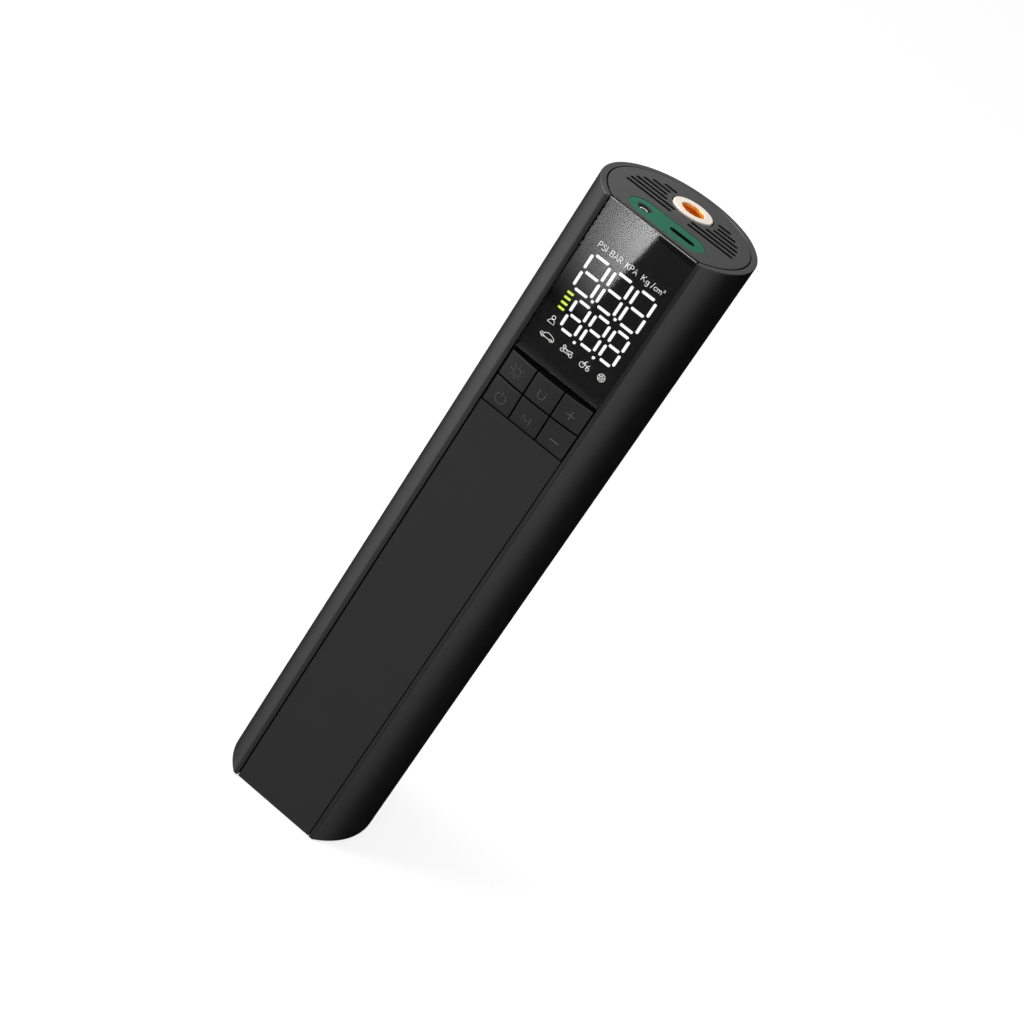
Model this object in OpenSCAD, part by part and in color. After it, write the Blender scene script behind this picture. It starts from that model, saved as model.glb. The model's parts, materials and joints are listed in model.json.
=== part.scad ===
// Portable tyre inflator: a stick-shaped air pump with a battery, a display and six keys, in millimetres.
// X runs across the front, Y from the front (-) to the back (+), and Z up from the base it stands on.

/* [Body] */
// Width of the body at its widest
body_w = 51.2; // [50.4:0.2:53]
// Depth of the body, from its front lips to its back
body_d = 49.4; // [48.8:0.2:51]
// Height of the body
body_h = 233.6; // [230:0.2:245]
// Radius of the two long side curves
side_r = 30.2; // [29.4:0.2:31.4]
// How far behind the front lips the body is widest
widest_d = 21.3; // [20.7:0.1:22]
// Thickness of the body's wall
wall = 2.2; // [1.9:0.1:2.4]
// Radius of the outer corner of the front lips
lip_r = 1; // [0.6:0.1:1.2]

/* [Front strip] */
// Width of the strip that holds the display lens, the keys and the lower panel
strip_w = 30.3; // [29.7:0.1:30.7]
// Seam between the strip and the body's lips
seam = 0.25; // [0.15:0.05:0.4]
// How far the body's lips stand in front of the strip
lip_proud = 0.35; // [0.1:0.05:0.6]
// Thickness of the lower panel
panel_t = 1.6; // [1.4:0.1:1.8]
// Chamfer along the lower panel's long edges
panel_chamfer = 0.25; // [0.1:0.05:0.4]
// Thickness of the frame behind the strip
carrier_t = 1.8; // [1.4:0.1:2.2]

/* [Display] */
// Height of the display lens
lens_h = 53; // [51:0.5:54]
// Thickness of the display lens
lens_t = 1.5; // [1.2:0.1:1.6]
// Height of the digits in the upper row
big_digit_h = 12.7; // [11:0.1:13]
// Width of the digits in the upper row
big_digit_w = 7.2; // [6:0.1:7.4]
// Height of the digits in the lower row
small_digit_h = 11.1; // [9:0.1:11.4]
// Width of the digits in the lower row
small_digit_w = 6; // [5:0.1:6.2]
// Thickness of a digit's strokes
stroke_w = 1; // [0.8:0.05:1.2]
// Thickness of the display's light block
display_t = 6.4; // [6:0.1:6.8]

/* [Keys] */
// Height of one key
key_h = 9.25; // [8.5:0.05:9.6]
// Gap between neighbouring keys
key_gap = 0.3; // [0.2:0.05:0.5]
// Gap between the keys and the display lens
lens_gap = 0.8; // [0.5:0.1:1.2]
// How far the keypad's crown stands in front of the strip
crown_h = 1.6; // [1:0.1:2]
// Thickness of a key at its flat edges
key_t = 2.2; // [1.9:0.1:2.4]
// How far a key goes in
key_travel = 0.35; // [0.2:0.05:0.4]
// Radius of a key's guide stem
stem_r = 1.5; // [1.2:0.1:1.8]

/* [Top cap] */
// Thickness of the top cap's plate
cap_t = 2.4; // [2:0.1:3]
// Groove between the top cap and the body's rim
cap_groove = 0.3; // [0.2:0.05:0.4]
// Number of vent slots on each side
vent_rows = 6; // [3:1:6]
// Distance from one vent slot to the next
vent_pitch = 3.07; // [2.6:0.01:3.2]
// Width of a vent slot
vent_w = 0.9; // [0.6:0.05:1.2]
// How far the first pair of vent slots lies in front of the body's widest line
vent_lead = 0.65; // [0.5:0.05:0.8]
// Radius in which all vent slots end
vent_out_r = 19.1; // [17:0.1:20]
// Half of the solid band between the left and right slots
vent_in = 2.9; // [2:0.1:4]

/* [Air outlet] */
// Depth of the outlet's centre behind the strip's face
outlet_d = 31.5; // [30.5:0.1:32.5]
// Outer radius of the white collar
collar_r = 6.6; // [6.3:0.1:6.9]
// How far the collar stands above the top cap
collar_proud = 0.4; // [0.2:0.1:1]
// Radius of the threaded hole, at the tips of its M8 thread
thread_r = 3.46; // [3.3:0.01:3.6]
// Length of the threaded hole
thread_l = 9; // [8:0.5:9.5]
// Outer radius of the brass insert
insert_r = 5.2; // [5:0.1:5.4]
// Outer radius of the air tube
tube_r = 3.4; // [3:0.1:3.6]
// Radius of the air tube's bore
tube_bore_r = 2; // [1.8:0.1:2.2]
// Radius of the air tube's two bends
tube_bend_r = 12; // [10:0.5:13]

/* [Port plate and lamp] */
// Length of the green port plate
plate_w = 25.8; // [25.2:0.2:26.4]
// Width of the green port plate
plate_d = 11.6; // [11:0.1:12]
// Thickness of the port plate
plate_t = 1.4; // [1.2:0.1:1.6]
// Depth of the port plate's centre behind the strip's face
plate_pos = 9.6; // [9.4:0.1:10]
// Offset of the port plate to the right
plate_x = 0.4; // [0:0.1:0.6]
// Distance of the lamp to the left of the plate's centre
lamp_dx = 7.8; // [7.4:0.1:8]
// Radius of the lamp's dome
lamp_r = 1.95; // [1.6:0.05:2.1]
// Distance of the charging socket to the right of the plate's centre
usb_dx = 5.5; // [5.2:0.1:5.8]
// Width of the charging socket's metal shell
usb_w = 8.94; // [8.8:0.01:9.1]
// Thickness of the charging socket's metal shell
usb_d = 3.26; // [3.1:0.01:3.4]
// Height of the charging socket
usb_h = 7.35; // [6.8:0.05:7.6]

/* [Bottom cap] */
// Thickness of the bottom cap
base_t = 2.5; // [2:0.1:3]
// Radius of the bottom screws' heads
base_head_r = 2.4; // [2.1:0.1:2.6]
// Radius of the bottom screws' shanks
base_screw_r = 1.3; // [1.1:0.05:1.4]

/* [Battery] */
// Depth kept free in front of the cells, for the strip, the frame behind it and the main board
cells_front = 11.6; // [11.4:0.1:12]
// Play between the rear cell and the body's back wall
cells_back = 0.75; // [0.5:0.05:1]
// Length of a battery cell
cell_l = 65; // [63:0.5:66]
// Gap between neighbouring cells
cell_gap = 0.6; // [0.5:0.05:0.7]
// Height of each cell holder
holder_h = 6; // [4:0.5:8]

/* [Motor] */
// Radius of the motor's can
motor_r = 12.2; // [11.6:0.1:12.4]
// Width kept free beside the motor for the rod, the gears and the frame's arm
drive_room = 16.9; // [16.9:0.1:17.5]
// Width kept free at the motor's other end, for its terminals
motor_room = 3.9; // [3.6:0.1:5]
// Depth of the motor's axis below the rim
motor_drop = 121.6; // [121:0.5:125]
// Wall of the motor's can
can_t = 1; // [0.8:0.1:1.2]
// Radius of the motor's shaft
shaft_r = 1.15; // [1:0.05:1.25]
// Thickness of the motor's magnets
magnet_t = 2.6; // [2:0.1:3]
// Gap between the magnets and the rotor
rotor_gap = 0.5; // [0.4:0.05:0.8]

/* [Gears] */
// Size of the gear teeth, as pitch diameter per tooth
gear_module = 0.6; // [0.58:0.01:0.61]
// Teeth of the motor's pinion
pinion_teeth = 10; // [10:1:11]
// Teeth of the crank gear
gear_teeth = 36; // [34:1:36]
// Thickness of the gears
gear_t = 4; // [3:0.1:4.2]
// Play between the teeth, measured round the pitch circle
backlash = 0.16; // [0.12:0.01:0.24]

/* [Crank and piston] */
// Distance from the crank's axis to its pin, half of the stroke
crank_e = 4; // [3.9:0.05:4.2]
// Radius of the crank pin
pin_r = 1.8; // [1.5:0.1:1.9]
// Radius of the crank shaft
crank_shaft_r = 2; // [1.7:0.1:2.1]
// Distance between the centres of the connecting rod's eyes
rod_l = 30; // [28:0.5:34]
// Radius of the cylinder's bore
bore_r = 9; // [8.8:0.05:9.1]
// Wall of the cylinder
cylinder_t = 1; // [0.8:0.1:1.2]
// Running gap of the turning and sliding metal parts
run_gap = 0.04; // [0.02:0.01:0.06]

/* [Boards] */
// Thickness of the circuit boards
board_t = 1.2; // [1:0.1:1.4]
// Length of the main board
main_board_l = 100; // [80:1:104]

/* [Hidden] */
$fn = 96;
fit = 0.05;    // clearance between parts that slide together or seat in each other
slip = 0.3;    // clearance between parts that only stand side by side
through = 1;   // how far a cut runs past the face it opens

// Places of the main faces
panel_y = (crown_h + lip_proud - body_d) / 2;   // face of the strip, with the part centred on Y = 0
front_y = panel_y - lip_proud;
mid_y = front_y + widest_d;                     // the pump, motor and cells gather round this line
slot_w = strip_w + 2 * seam;
lens_z = body_h - lens_h;
keys_top = lens_z - lens_gap;
keys_z = keys_top - 2 * key_h - key_gap;
panel_h = keys_z - key_gap;
motor_z = body_h - motor_drop;
carrier_y = panel_y + panel_t;
carrier_back = carrier_y + carrier_t;

// Section of the body: two side arcs and a back arc that meet without a crease
side_dx = side_r - body_w / 2;
back_d = (pow(widest_d, 2) + pow(side_dx, 2) - pow(side_r - body_d, 2)) / (2 * (side_r - body_d + widest_d));
back_r = body_d - back_d;
back_cy = front_y + back_d;
ease = 0.05;   // how far outside the true meeting curve the back arc runs
function blend_y(inset) = back_cy + (back_r - inset) * (back_d - widest_d) / (side_r - back_r);
lip_x = sqrt(pow(side_r - lip_r, 2) - pow(widest_d - lip_r, 2)) - side_dx;
lip_y = front_y + lip_r - lip_r * (widest_d - lip_r) / (side_r - lip_r);

// Section of the body, inset from its outer face and cut at two planes.
// The back arc runs a hair outside the side arcs' tangent circle, so that it crosses them cleanly.
module body_section(inset, y0, y1) intersection() {
    translate([-side_dx, mid_y]) circle(r = side_r - inset, $fn = 240);
    translate([side_dx, mid_y]) circle(r = side_r - inset, $fn = 240);
    union() {
        translate([0, back_cy - ease]) circle(r = back_r + ease - inset, $fn = 240);
        translate([-body_w, -body_d]) square([2 * body_w, blend_y(inset) + body_d]);
    }
    translate([-body_w, y0]) square([2 * body_w, y1 - y0]);
}
// A plate across the inside of the body, a gap away from its wall, from depth line y0 to the back
module bulkhead(gap, y0, z, h) translate([0, 0, z]) linear_extrude(h) body_section(wall + gap, y0, body_d);

// Distance from the middle line to the inside of the wall, at an angle from +X
function side_at(a) = sqrt(pow(side_r - wall, 2) - pow(side_dx * sin(a), 2)) - side_dx * abs(cos(a));
function back_at(a) = let (k = back_cy - mid_y) k * sin(a) + sqrt(pow(back_r - wall, 2) - pow(k * cos(a), 2));
function wall_at(a) = mid_y + side_at(a) * sin(a) > blend_y(wall) ? back_at(a) : side_at(a);

module at(x, y, z) translate([x, y, z]) children();
module along_x(x, z) translate([x, mid_y, z]) rotate([0, 90, 0]) children();
module along_y(x, y, z) translate([x, y, z]) rotate([-90, 0, 0]) children();
module ring(r, hole_r, h) difference() {
    cylinder(r = r, h = h);
    translate([0, 0, -through]) cylinder(r = hole_r, h = h + 2 * through);
}
// Flat bar with round ends, lying along X
module round_bar(w, d, h) linear_extrude(h) round_slot(w, d);
module round_slot(w, d) {
    square([w - d, d], center = true);
    for (s = [-1, 1]) translate([s * (w - d) / 2, 0]) circle(d = d, $fn = 48);
}

// ---- Body, front strip and display ----

boss_r = 3;
boss_sink = 0.5;
boss_top = base_t + 7;
boss_angles = [-40, 45, 135, 220];         // bosses for the bottom screws
frame_angles = [60, 120, 200];             // bosses that carry the pump frame
frame_boss_h = 4;
function boss_at(a) = let (r = wall_at(a) - boss_r + boss_sink) [r * cos(a), mid_y + r * sin(a)];
module at_bosses(angles, z) for (a = angles) translate([boss_at(a)[0], boss_at(a)[1], z]) children();

module body_shell() color([0.10, 0.10, 0.105]) {
    difference() {
        linear_extrude(body_h) {
            body_section(0, lip_y, body_d);
            translate([-lip_x, front_y]) square([2 * lip_x, lip_y - front_y + through]);
            for (s = [-1, 1]) translate([s * lip_x, front_y + lip_r]) circle(r = lip_r);
        }
        at(0, 0, -through) linear_extrude(body_h + 2 * through) body_section(wall, front_y - through, body_d);
        at(-slot_w / 2, front_y - through, -through)
            cube([slot_w, panel_t + 2 * through, body_h + 2 * through]);
    }
    at_bosses(boss_angles, base_t + fit) ring(boss_r, base_screw_r + fit / 2, boss_top - base_t - fit);
    at_bosses(frame_angles, seat_z - fit - frame_boss_h) ring(boss_r, base_screw_r + fit / 2, frame_boss_h);
}

module lower_panel() color([0.09, 0.09, 0.095]) linear_extrude(panel_h) polygon([
    [-strip_w / 2 + panel_chamfer, panel_y], [strip_w / 2 - panel_chamfer, panel_y],
    [strip_w / 2, panel_y + panel_chamfer], [strip_w / 2, carrier_y],
    [-strip_w / 2, carrier_y], [-strip_w / 2, panel_y + panel_chamfer]
]);

module display_lens() color([0.02, 0.02, 0.025])
    at(-strip_w / 2, panel_y, lens_z) cube([strip_w, lens_t, lens_h]);

// The display's picture: three large digits over three small ones, and four battery bars beside them
window_w = 26.4;
window_h = 38;
window_top = 10.2;                        // from the rim down to the window, and so on for the rows
window_z = body_h - window_top - window_h;
big_drop = 22.71;
big_z = body_h - big_drop;
big_pitch = 8.2;
big_x = -7.61;
small_drop = 35.66;
small_z = body_h - small_drop;
small_pitch = 7;
small_x = -4.91;
bar_drop = 35.91;
bar_z = body_h - bar_drop;
bar_x = -10.06;
bar_w = 2.3;
bar_h = 0.85;
bar_pitch = 1.77;
bar_rows = 4;
dot_w = 1;
well_depth = 2.5;

board_y = panel_y + panel_t + fit + display_t;        // front face of the front board
post_room = 3.3;                                      // width beside the window for a post and its screw
front_board_w = window_w + 2 * post_room;
front_board_z = keys_z + 1;
front_board_h = window_z + window_h - front_board_z;
post_r = 1.5;
post_y = carrier_back - 0.5;                          // the posts start inside the carrier's back face
post_x = front_board_w / 2 - post_r;
front_post_z = [front_board_z + post_r + slip, front_board_z + front_board_h - post_r - slip];
main_y = carrier_back + 2;                            // front face of the main board
main_board_w = 30;
main_board_z = 20;
main_post_x = main_board_w / 2 - 2.2;
main_post_z = [main_board_z + 3, main_board_z + main_board_l - 3];

// Keys sit in two rows of three, each on a stem that is guided by the carrier
key_w = (strip_w - 2 * seam - 2 * key_gap) / 3;
key_pitch = key_w + key_gap;
key_edge = key_gap / 2;                               // gap between the keys and the carrier's pocket
key_row_z = [keys_z + key_h / 2, keys_z + key_gap + 1.5 * key_h];
pocket_y = panel_y + key_t + key_travel + fit;
pocket_back = pocket_y + carrier_t;
stem_end = pocket_back + 1;
switch_t = 1.6;
switch_w = 4.5;
switch_button_r = 1;
switch_top = stem_end + key_travel + fit;

module front_carrier() color([0.05, 0.05, 0.055]) difference() {
    union() {
        at(0, 0, base_t + 2 * fit) linear_extrude(body_h - cap_t - base_t - 4 * fit)
            body_section(wall + slip, carrier_y, carrier_back);
        at(-slot_w / 2, carrier_y, keys_z - 1) cube([slot_w, pocket_back - carrier_y, keys_top - keys_z + 2]);
        for (s = [-1, 1], z = front_post_z) along_y(s * post_x, post_y, z)
            cylinder(r = post_r, h = board_y - post_y);
        for (s = [-1, 1], z = main_post_z) along_y(s * main_post_x, post_y, z)
            cylinder(r = post_r, h = main_y - post_y);
    }
    at(-window_w / 2 - fit, carrier_y - through, window_z - fit)
        cube([window_w + 2 * fit, carrier_t + 2 * through, window_h + 2 * fit]);
    at(-strip_w / 2, carrier_y - through, keys_z - key_edge)
        cube([strip_w, pocket_y - carrier_y + through, keys_top - keys_z + 2 * key_edge]);
    for (i = [-1, 0, 1], z = key_row_z) along_y(i * key_pitch, pocket_y - through, z)
        cylinder(r = stem_r + fit, h = carrier_t + 2 * through);
    for (s = [-1, 1], z = front_post_z) screw_hole(s * post_x, board_y, z);
    for (s = [-1, 1], z = main_post_z) screw_hole(s * main_post_x, main_y, z);
}
board_screw_r = 0.8;
board_head_r = 1.4;
module screw_hole(x, y, z) along_y(x, y - 3, z) cylinder(r = board_screw_r + fit / 2, h = 3 + through);

// Seven strokes of one digit, centred, in the XZ plane
module digit(w, h) {
    half = (h - stroke_w) / 2;
    for (k = [-1, 0, 1]) translate([0, k * half]) stroke(w - 1.6 * stroke_w);
    for (s = [-1, 1], k = [-0.5, 0.5]) translate([s * (w - stroke_w) / 2, k * half])
        rotate(90) stroke(half - 0.35 * stroke_w);
}
module stroke(l) polygon([
    [-l / 2, 0], [-l / 2 + stroke_w / 2, stroke_w / 2], [l / 2 - stroke_w / 2, stroke_w / 2],
    [l / 2, 0], [l / 2 - stroke_w / 2, -stroke_w / 2], [-l / 2 + stroke_w / 2, -stroke_w / 2]
]);
module display_picture() {
    for (i = [0 : 2]) {
        translate([big_x + i * big_pitch, big_z]) digit(big_digit_w, big_digit_h);
        translate([small_x + i * small_pitch, small_z]) digit(small_digit_w, small_digit_h);
    }
    for (i = [0 : 1]) {
        translate([big_x + (i + 0.5) * big_pitch, big_z - (big_digit_h - stroke_w) / 2])
            square(dot_w, center = true);
        translate([small_x + (i + 0.5) * small_pitch, small_z - (small_digit_h + stroke_w) / 2])
            square(dot_w, center = true);
    }
    for (i = [0 : bar_rows - 1]) translate([bar_x, bar_z + i * bar_pitch])
        square([bar_w, bar_h], center = true);
}
module display_block() color([0.85, 0.85, 0.83]) difference() {
    at(-window_w / 2, carrier_y, window_z) cube([window_w, display_t + fit, window_h]);
    translate([0, carrier_y + well_depth, 0]) rotate([90, 0, 0])
        linear_extrude(well_depth + through) display_picture();
}

module front_board() color([0.05, 0.25, 0.13]) difference() {
    at(-front_board_w / 2, board_y, front_board_z) cube([front_board_w, board_t, front_board_h]);
    for (s = [-1, 1], z = front_post_z) screw_hole(s * post_x, board_y + board_t, z);
}

// Height of the keypad's crown over the strip, at a place across and a share of the way up
function crown(x, t) = crown_h * (1 - pow(2 * x / strip_w, 2)) * (1 - pow(1 - t, 2));
key_grid = 8;
module key_cap(column, row) {
    x0 = column * key_pitch - key_w / 2;
    z0 = keys_z + row * (key_h + key_gap);
    n = key_grid;
    m = n + 1;
    spots = [for (j = [0 : n], i = [0 : n]) [x0 + key_w * i / n, z0 + key_h * j / n]];
    tops = [for (p = spots) [p[0], panel_y - crown(p[0], (p[1] - keys_z) / (keys_top - keys_z)), p[1]]];
    backs = [for (p = spots) [p[0], panel_y + key_t, p[1]]];
    cells = [for (j = [0 : n - 1], i = [0 : n - 1]) j * m + i];
    rim = concat([for (i = [0 : n - 1]) i], [for (j = [0 : n - 1]) j * m + n],
        [for (i = [n : -1 : 1]) n * m + i], [for (j = [n : -1 : 1]) j * m]);
    faces = concat(
        [for (c = cells) [c, c + m, c + 1]], [for (c = cells) [c + 1, c + m, c + m + 1]],
        [for (c = cells) [m * m + c, m * m + c + 1, m * m + c + m]],
        [for (c = cells) [m * m + c + 1, m * m + c + m + 1, m * m + c + m]],
        [for (k = [0 : len(rim) - 1]) let (a = rim[k], b = rim[(k + 1) % len(rim)]) [a, b, m * m + a]],
        [for (k = [0 : len(rim) - 1]) let (a = rim[k], b = rim[(k + 1) % len(rim)]) [b, m * m + b, m * m + a]]
    );
    color([0.11, 0.11, 0.115]) {
        polyhedron(concat(tops, backs), faces);
        along_y(column * key_pitch, panel_y + key_t - fit, key_row_z[row])
            cylinder(r = stem_r, h = stem_end - panel_y - key_t + fit);
    }
}
module lamp_key() key_cap(-1, 1);
module unit_key() key_cap(0, 1);
module plus_key() key_cap(1, 1);
module power_key() key_cap(-1, 0);
module mode_key() key_cap(0, 0);
module minus_key() key_cap(1, 0);

module tact_switches() color([0.6, 0.6, 0.6])
    for (i = [-1, 0, 1], z = key_row_z) {
        at(i * key_pitch - switch_w / 2, board_y - switch_t, z - switch_w / 2)
            cube([switch_w, switch_t, switch_w]);
        along_y(i * key_pitch, switch_top, z) cylinder(r = switch_button_r, h = board_y - switch_top);
    }

// ---- Top cap, ports and air outlet ----

cap_z = body_h - cap_t;
outlet_y = panel_y + outlet_d;
collar_gap = 0.4;
vent_y = mid_y - vent_lead;               // line of the first pair of slots
vent_collar_r = collar_r + 2;             // radius round the collar that stays solid
outlet_boss_r = collar_r + 1.5;
outlet_boss_h = 8;
skirt_t = 1.4;
skirt_h = 4;
plate_y = panel_y + plate_pos;
lamp_x = plate_x - lamp_dx;
usb_x = plate_x + usb_dx;
bezel_t = 0.5;
usb_t = 0.35;
usb_mouth_w = usb_w - usb_t;              // mouth in the plate, over the inside of the socket's shell
usb_mouth_d = usb_d - 2 * usb_t;
bezel_r = lamp_r + bezel_t;
port_board_z = body_h - plate_t - fit - usb_h - board_t;
port_board_w = 25;
port_board_d = 9.4;
stake_r = 1;
stake_collar = 0.5;                       // how far the shoulder over the board stands out from the stake
stake_tip = 0.6;
stake_x = port_board_w / 2 - 1.6;
stake_y = plate_y + 3;

module vent_slot(y) {
    reach_y = abs(y - outlet_y);
    x0 = reach_y < vent_collar_r ? max(vent_in, sqrt(pow(vent_collar_r, 2) - pow(reach_y, 2))) : vent_in;
    x1 = sqrt(pow(vent_out_r, 2) - pow(y - mid_y, 2));
    translate([(x0 + x1) / 2, y]) round_slot(x1 - x0, vent_w);
}
module top_cap() color([0.22, 0.22, 0.225]) difference() {
    union() {
        bulkhead(cap_groove, panel_y + lens_t + cap_groove, cap_z, cap_t);
        difference() {
            bulkhead(cap_groove, plate_y, cap_z - skirt_h, skirt_h + fit);
            bulkhead(cap_groove + skirt_t, plate_y - through, cap_z - skirt_h - through, skirt_h + through);
        }
        at(0, outlet_y, cap_z - outlet_boss_h) cylinder(r = outlet_boss_r, h = outlet_boss_h + fit);
        for (s = [-1, 1]) at(plate_x + s * stake_x, stake_y, port_board_z + board_t) {
            cylinder(r = stake_r + stake_collar, h = cap_z - port_board_z - board_t + fit);
            at(0, 0, -board_t - stake_tip) cylinder(r = stake_r, h = board_t + stake_tip + fit);
        }
    }
    at(0, outlet_y, cap_z) cylinder(r = collar_r + collar_gap, h = cap_t + through);
    at(0, outlet_y, cap_z - outlet_boss_h - through) cylinder(r = collar_r + fit, h = outlet_boss_h + cap_t);
    at(plate_x, plate_y, body_h - plate_t) round_bar(plate_w + 2 * fit, plate_d + 2 * fit, plate_t + through);
    at(lamp_x, plate_y, cap_z - through) cylinder(r = bezel_r + fit, h = cap_t + 2 * through);
    at(usb_x, plate_y, cap_z - through) round_bar(usb_w + 2 * fit, usb_d + 2 * fit, cap_t + 2 * through);
    at(0, 0, cap_z - through) linear_extrude(cap_t + 2 * through)
        for (s = [0, 1], i = [0 : vent_rows - 1]) mirror([s, 0]) vent_slot(vent_y + i * vent_pitch);
}
plate_recess = 0.1;
module port_plate() color([0.05, 0.30, 0.20]) at(plate_x, plate_y, body_h - plate_t) difference() {
    round_bar(plate_w, plate_d, plate_t - plate_recess);
    at(-lamp_dx, 0, -through) cylinder(r = bezel_r + fit, h = plate_t + 2 * through);
    at(usb_dx, 0, -through) round_bar(usb_mouth_w, usb_mouth_d, plate_t + 2 * through);
}
bezel_h = 3.4;
led_h = 5.2;
led_z = body_h - 0.5;
led_lead = 0.9;
led_lead_r = 0.25;
led_flange = 0.4;
module lamp_bezel() color([0.02, 0.02, 0.02])
    at(lamp_x, plate_y, body_h - bezel_h - plate_recess) ring(bezel_r, lamp_r + fit, bezel_h);
module lamp_led() color([0.85, 0.88, 0.9]) {
    at(lamp_x, plate_y, led_z - lamp_r) sphere(r = lamp_r, $fn = 48);
    at(lamp_x, plate_y, led_z - led_h) cylinder(r = lamp_r, h = led_h - lamp_r);
    at(lamp_x, plate_y, led_z - led_h) cylinder(r = lamp_r + led_flange, h = 1);
    for (s = [-1, 1]) at(lamp_x + s * led_lead, plate_y, port_board_z + board_t)
        cylinder(r = led_lead_r, h = led_z - led_h - port_board_z - board_t + fit);
}
usb_floor = 1;
tongue_w = 6.7;
tongue_t = 0.7;
tongue_drop = 1.2;                        // from the socket's mouth down to its tongue
module usb_socket() color([0.7, 0.7, 0.72]) at(usb_x, plate_y, port_board_z + board_t) {
    difference() {
        round_bar(usb_w, usb_d, usb_h);
        at(0, 0, usb_floor) round_bar(usb_w - 2 * usb_t, usb_d - 2 * usb_t, usb_h);
    }
    at(-tongue_w / 2, -tongue_t / 2, usb_floor / 2)
        cube([tongue_w, tongue_t, usb_h - usb_floor / 2 - tongue_drop]);
}
module port_board() color([0.05, 0.25, 0.13]) difference() {
    at(plate_x - port_board_w / 2, plate_y - port_board_d / 2, port_board_z)
        cube([port_board_w, port_board_d, board_t]);
    for (s = [-1, 1]) at(plate_x + s * stake_x, stake_y, port_board_z - through)
        cylinder(r = stake_r + fit, h = board_t + 2 * through);
}

collar_h = outlet_boss_h + cap_t + collar_proud - 1;
collar_top = body_h + collar_proud;
collar_lip = 1.4;                        // thickness of the collar over the insert
mouth_r = thread_r + 0.3;
insert_top = collar_top - collar_lip;
flange_h = 2.5;
flange_r = insert_r + 1.2;
nipple_r = tube_bore_r - fit / 2;
nipple_h = 6;
air_r = 1.1;
module outlet_collar() color([0.93, 0.92, 0.88]) at(0, outlet_y, collar_top - collar_h) difference() {
    cylinder(r = collar_r, h = collar_h);
    at(0, 0, -through) cylinder(r = insert_r + fit, h = collar_h - collar_lip + through);
    cylinder(r = mouth_r, h = collar_h + through);
}
insert_flange_z = collar_top - collar_h - flange_h;
insert_nipple_z = insert_flange_z - nipple_h;
module outlet_insert() color([0.80, 0.48, 0.18]) at(0, outlet_y, 0) difference() {
    union() {
        at(0, 0, insert_flange_z) cylinder(r = insert_r, h = insert_top - insert_flange_z);
        at(0, 0, insert_flange_z) cylinder(r = flange_r, h = flange_h);
        at(0, 0, insert_nipple_z) cylinder(r = nipple_r, h = nipple_h + fit);
    }
    at(0, 0, insert_top - thread_l) cylinder(r = thread_r, h = thread_l + through);
    at(0, 0, insert_nipple_z - through) cylinder(r = air_r, h = insert_top - insert_nipple_z);
}

// ---- Bottom cap and battery ----

base_head_h = 1.2;
base_screw_l = 6.5;
cross_l = 2.4;                            // cross in a screw's head
cross_w = 0.5;
cross_depth = 0.7;
module bottom_cap() color([0.10, 0.10, 0.105]) difference() {
    bulkhead(slip, carrier_y + fit, 0, base_t);
    at_bosses(boss_angles, -through) {
        cylinder(r = base_head_r + fit, h = base_head_h + through + fit);
        cylinder(r = base_screw_r + fit, h = base_t + 2 * through);
    }
}
module bottom_screws() color([0.75, 0.75, 0.77]) at_bosses(boss_angles, fit) difference() {
    union() {
        cylinder(r = base_head_r, h = base_head_h);
        cylinder(r = base_screw_r, h = base_screw_l);
    }
    for (t = [0, 90]) rotate(t)
        translate([-cross_l / 2, -cross_w / 2, -through]) cube([cross_l, cross_w, through + cross_depth]);
}

cell_row = sqrt(3) / 2;                   // depth between two rows of cells, as a share of their pitch
cell_r = (body_d - cells_front - cells_back - wall - cell_row * cell_gap) / (2 + 2 * cell_row);
cell_pitch = 2 * cell_r + cell_gap;
link_t = 0.3;
link_w = 6;
cells_z = boss_top + 1;
cells_top = cells_z + cell_l;
holder_inset = 1;                        // how far each holder sits from the cells' ends
holder_front = main_y + board_t + 1.5;
skirt_wall = 1.2;
cell_y = front_y + cells_front + cell_r;
cell_centres = [[-cell_pitch / 2, cell_y], [cell_pitch / 2, cell_y], [0, cell_y + cell_pitch * cell_row]];
// Each cell has a crimped groove under its top, and a round button that stands in a ring
crimp_drop = 2.6;
crimp_h = 0.8;
crimp_depth = 0.5;
cell_rim = 1.5;
button_r = 3;
module battery_cells() color([0.15, 0.35, 0.60]) for (c = cell_centres) at(c[0], c[1], cells_z) difference() {
    cylinder(r = cell_r, h = cell_l);
    at(0, 0, cell_l - crimp_drop) ring(cell_r + through, cell_r - crimp_depth, crimp_h);
    at(0, 0, cell_l - crimp_h) ring(cell_r - cell_rim, button_r, crimp_h + through);
}
// Strap from one cell to another, with an angle from the first to the second
module strap(cell, angle, z) at(cell_centres[cell][0], cell_centres[cell][1], z) rotate(angle)
    translate([-link_w / 2, -link_w / 2, 0]) cube([cell_pitch + link_w, link_w, link_t]);
module tab(cell, z) at(cell_centres[cell][0] - link_w / 2, cell_centres[cell][1] - link_w / 2, z)
    cube([link_w, link_w, link_t]);
module cell_links() color([0.75, 0.75, 0.75]) {
    strap(0, 0, cells_z - link_t);
    tab(2, cells_z - link_t);
    strap(1, 120, cells_top);
    tab(0, cells_top);
}
module holder(z, foot) difference() {
    bulkhead(slip, holder_front, z - foot, holder_h + foot);
    if (foot > 0) bulkhead(slip + skirt_wall, holder_front - through, z - foot - through, foot + through);
    for (c = cell_centres) at(c[0], c[1], z - foot - through)
        cylinder(r = cell_r + fit, h = holder_h + foot + 2 * through);
}
lower_holder_z = cells_z + holder_inset;
upper_holder_z = cells_top - holder_inset - holder_h;
module lower_holder() color([0.85, 0.80, 0.65]) holder(lower_holder_z, lower_holder_z - boss_top - fit);
module upper_holder() color([0.85, 0.80, 0.65]) holder(upper_holder_z, 0);

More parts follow.
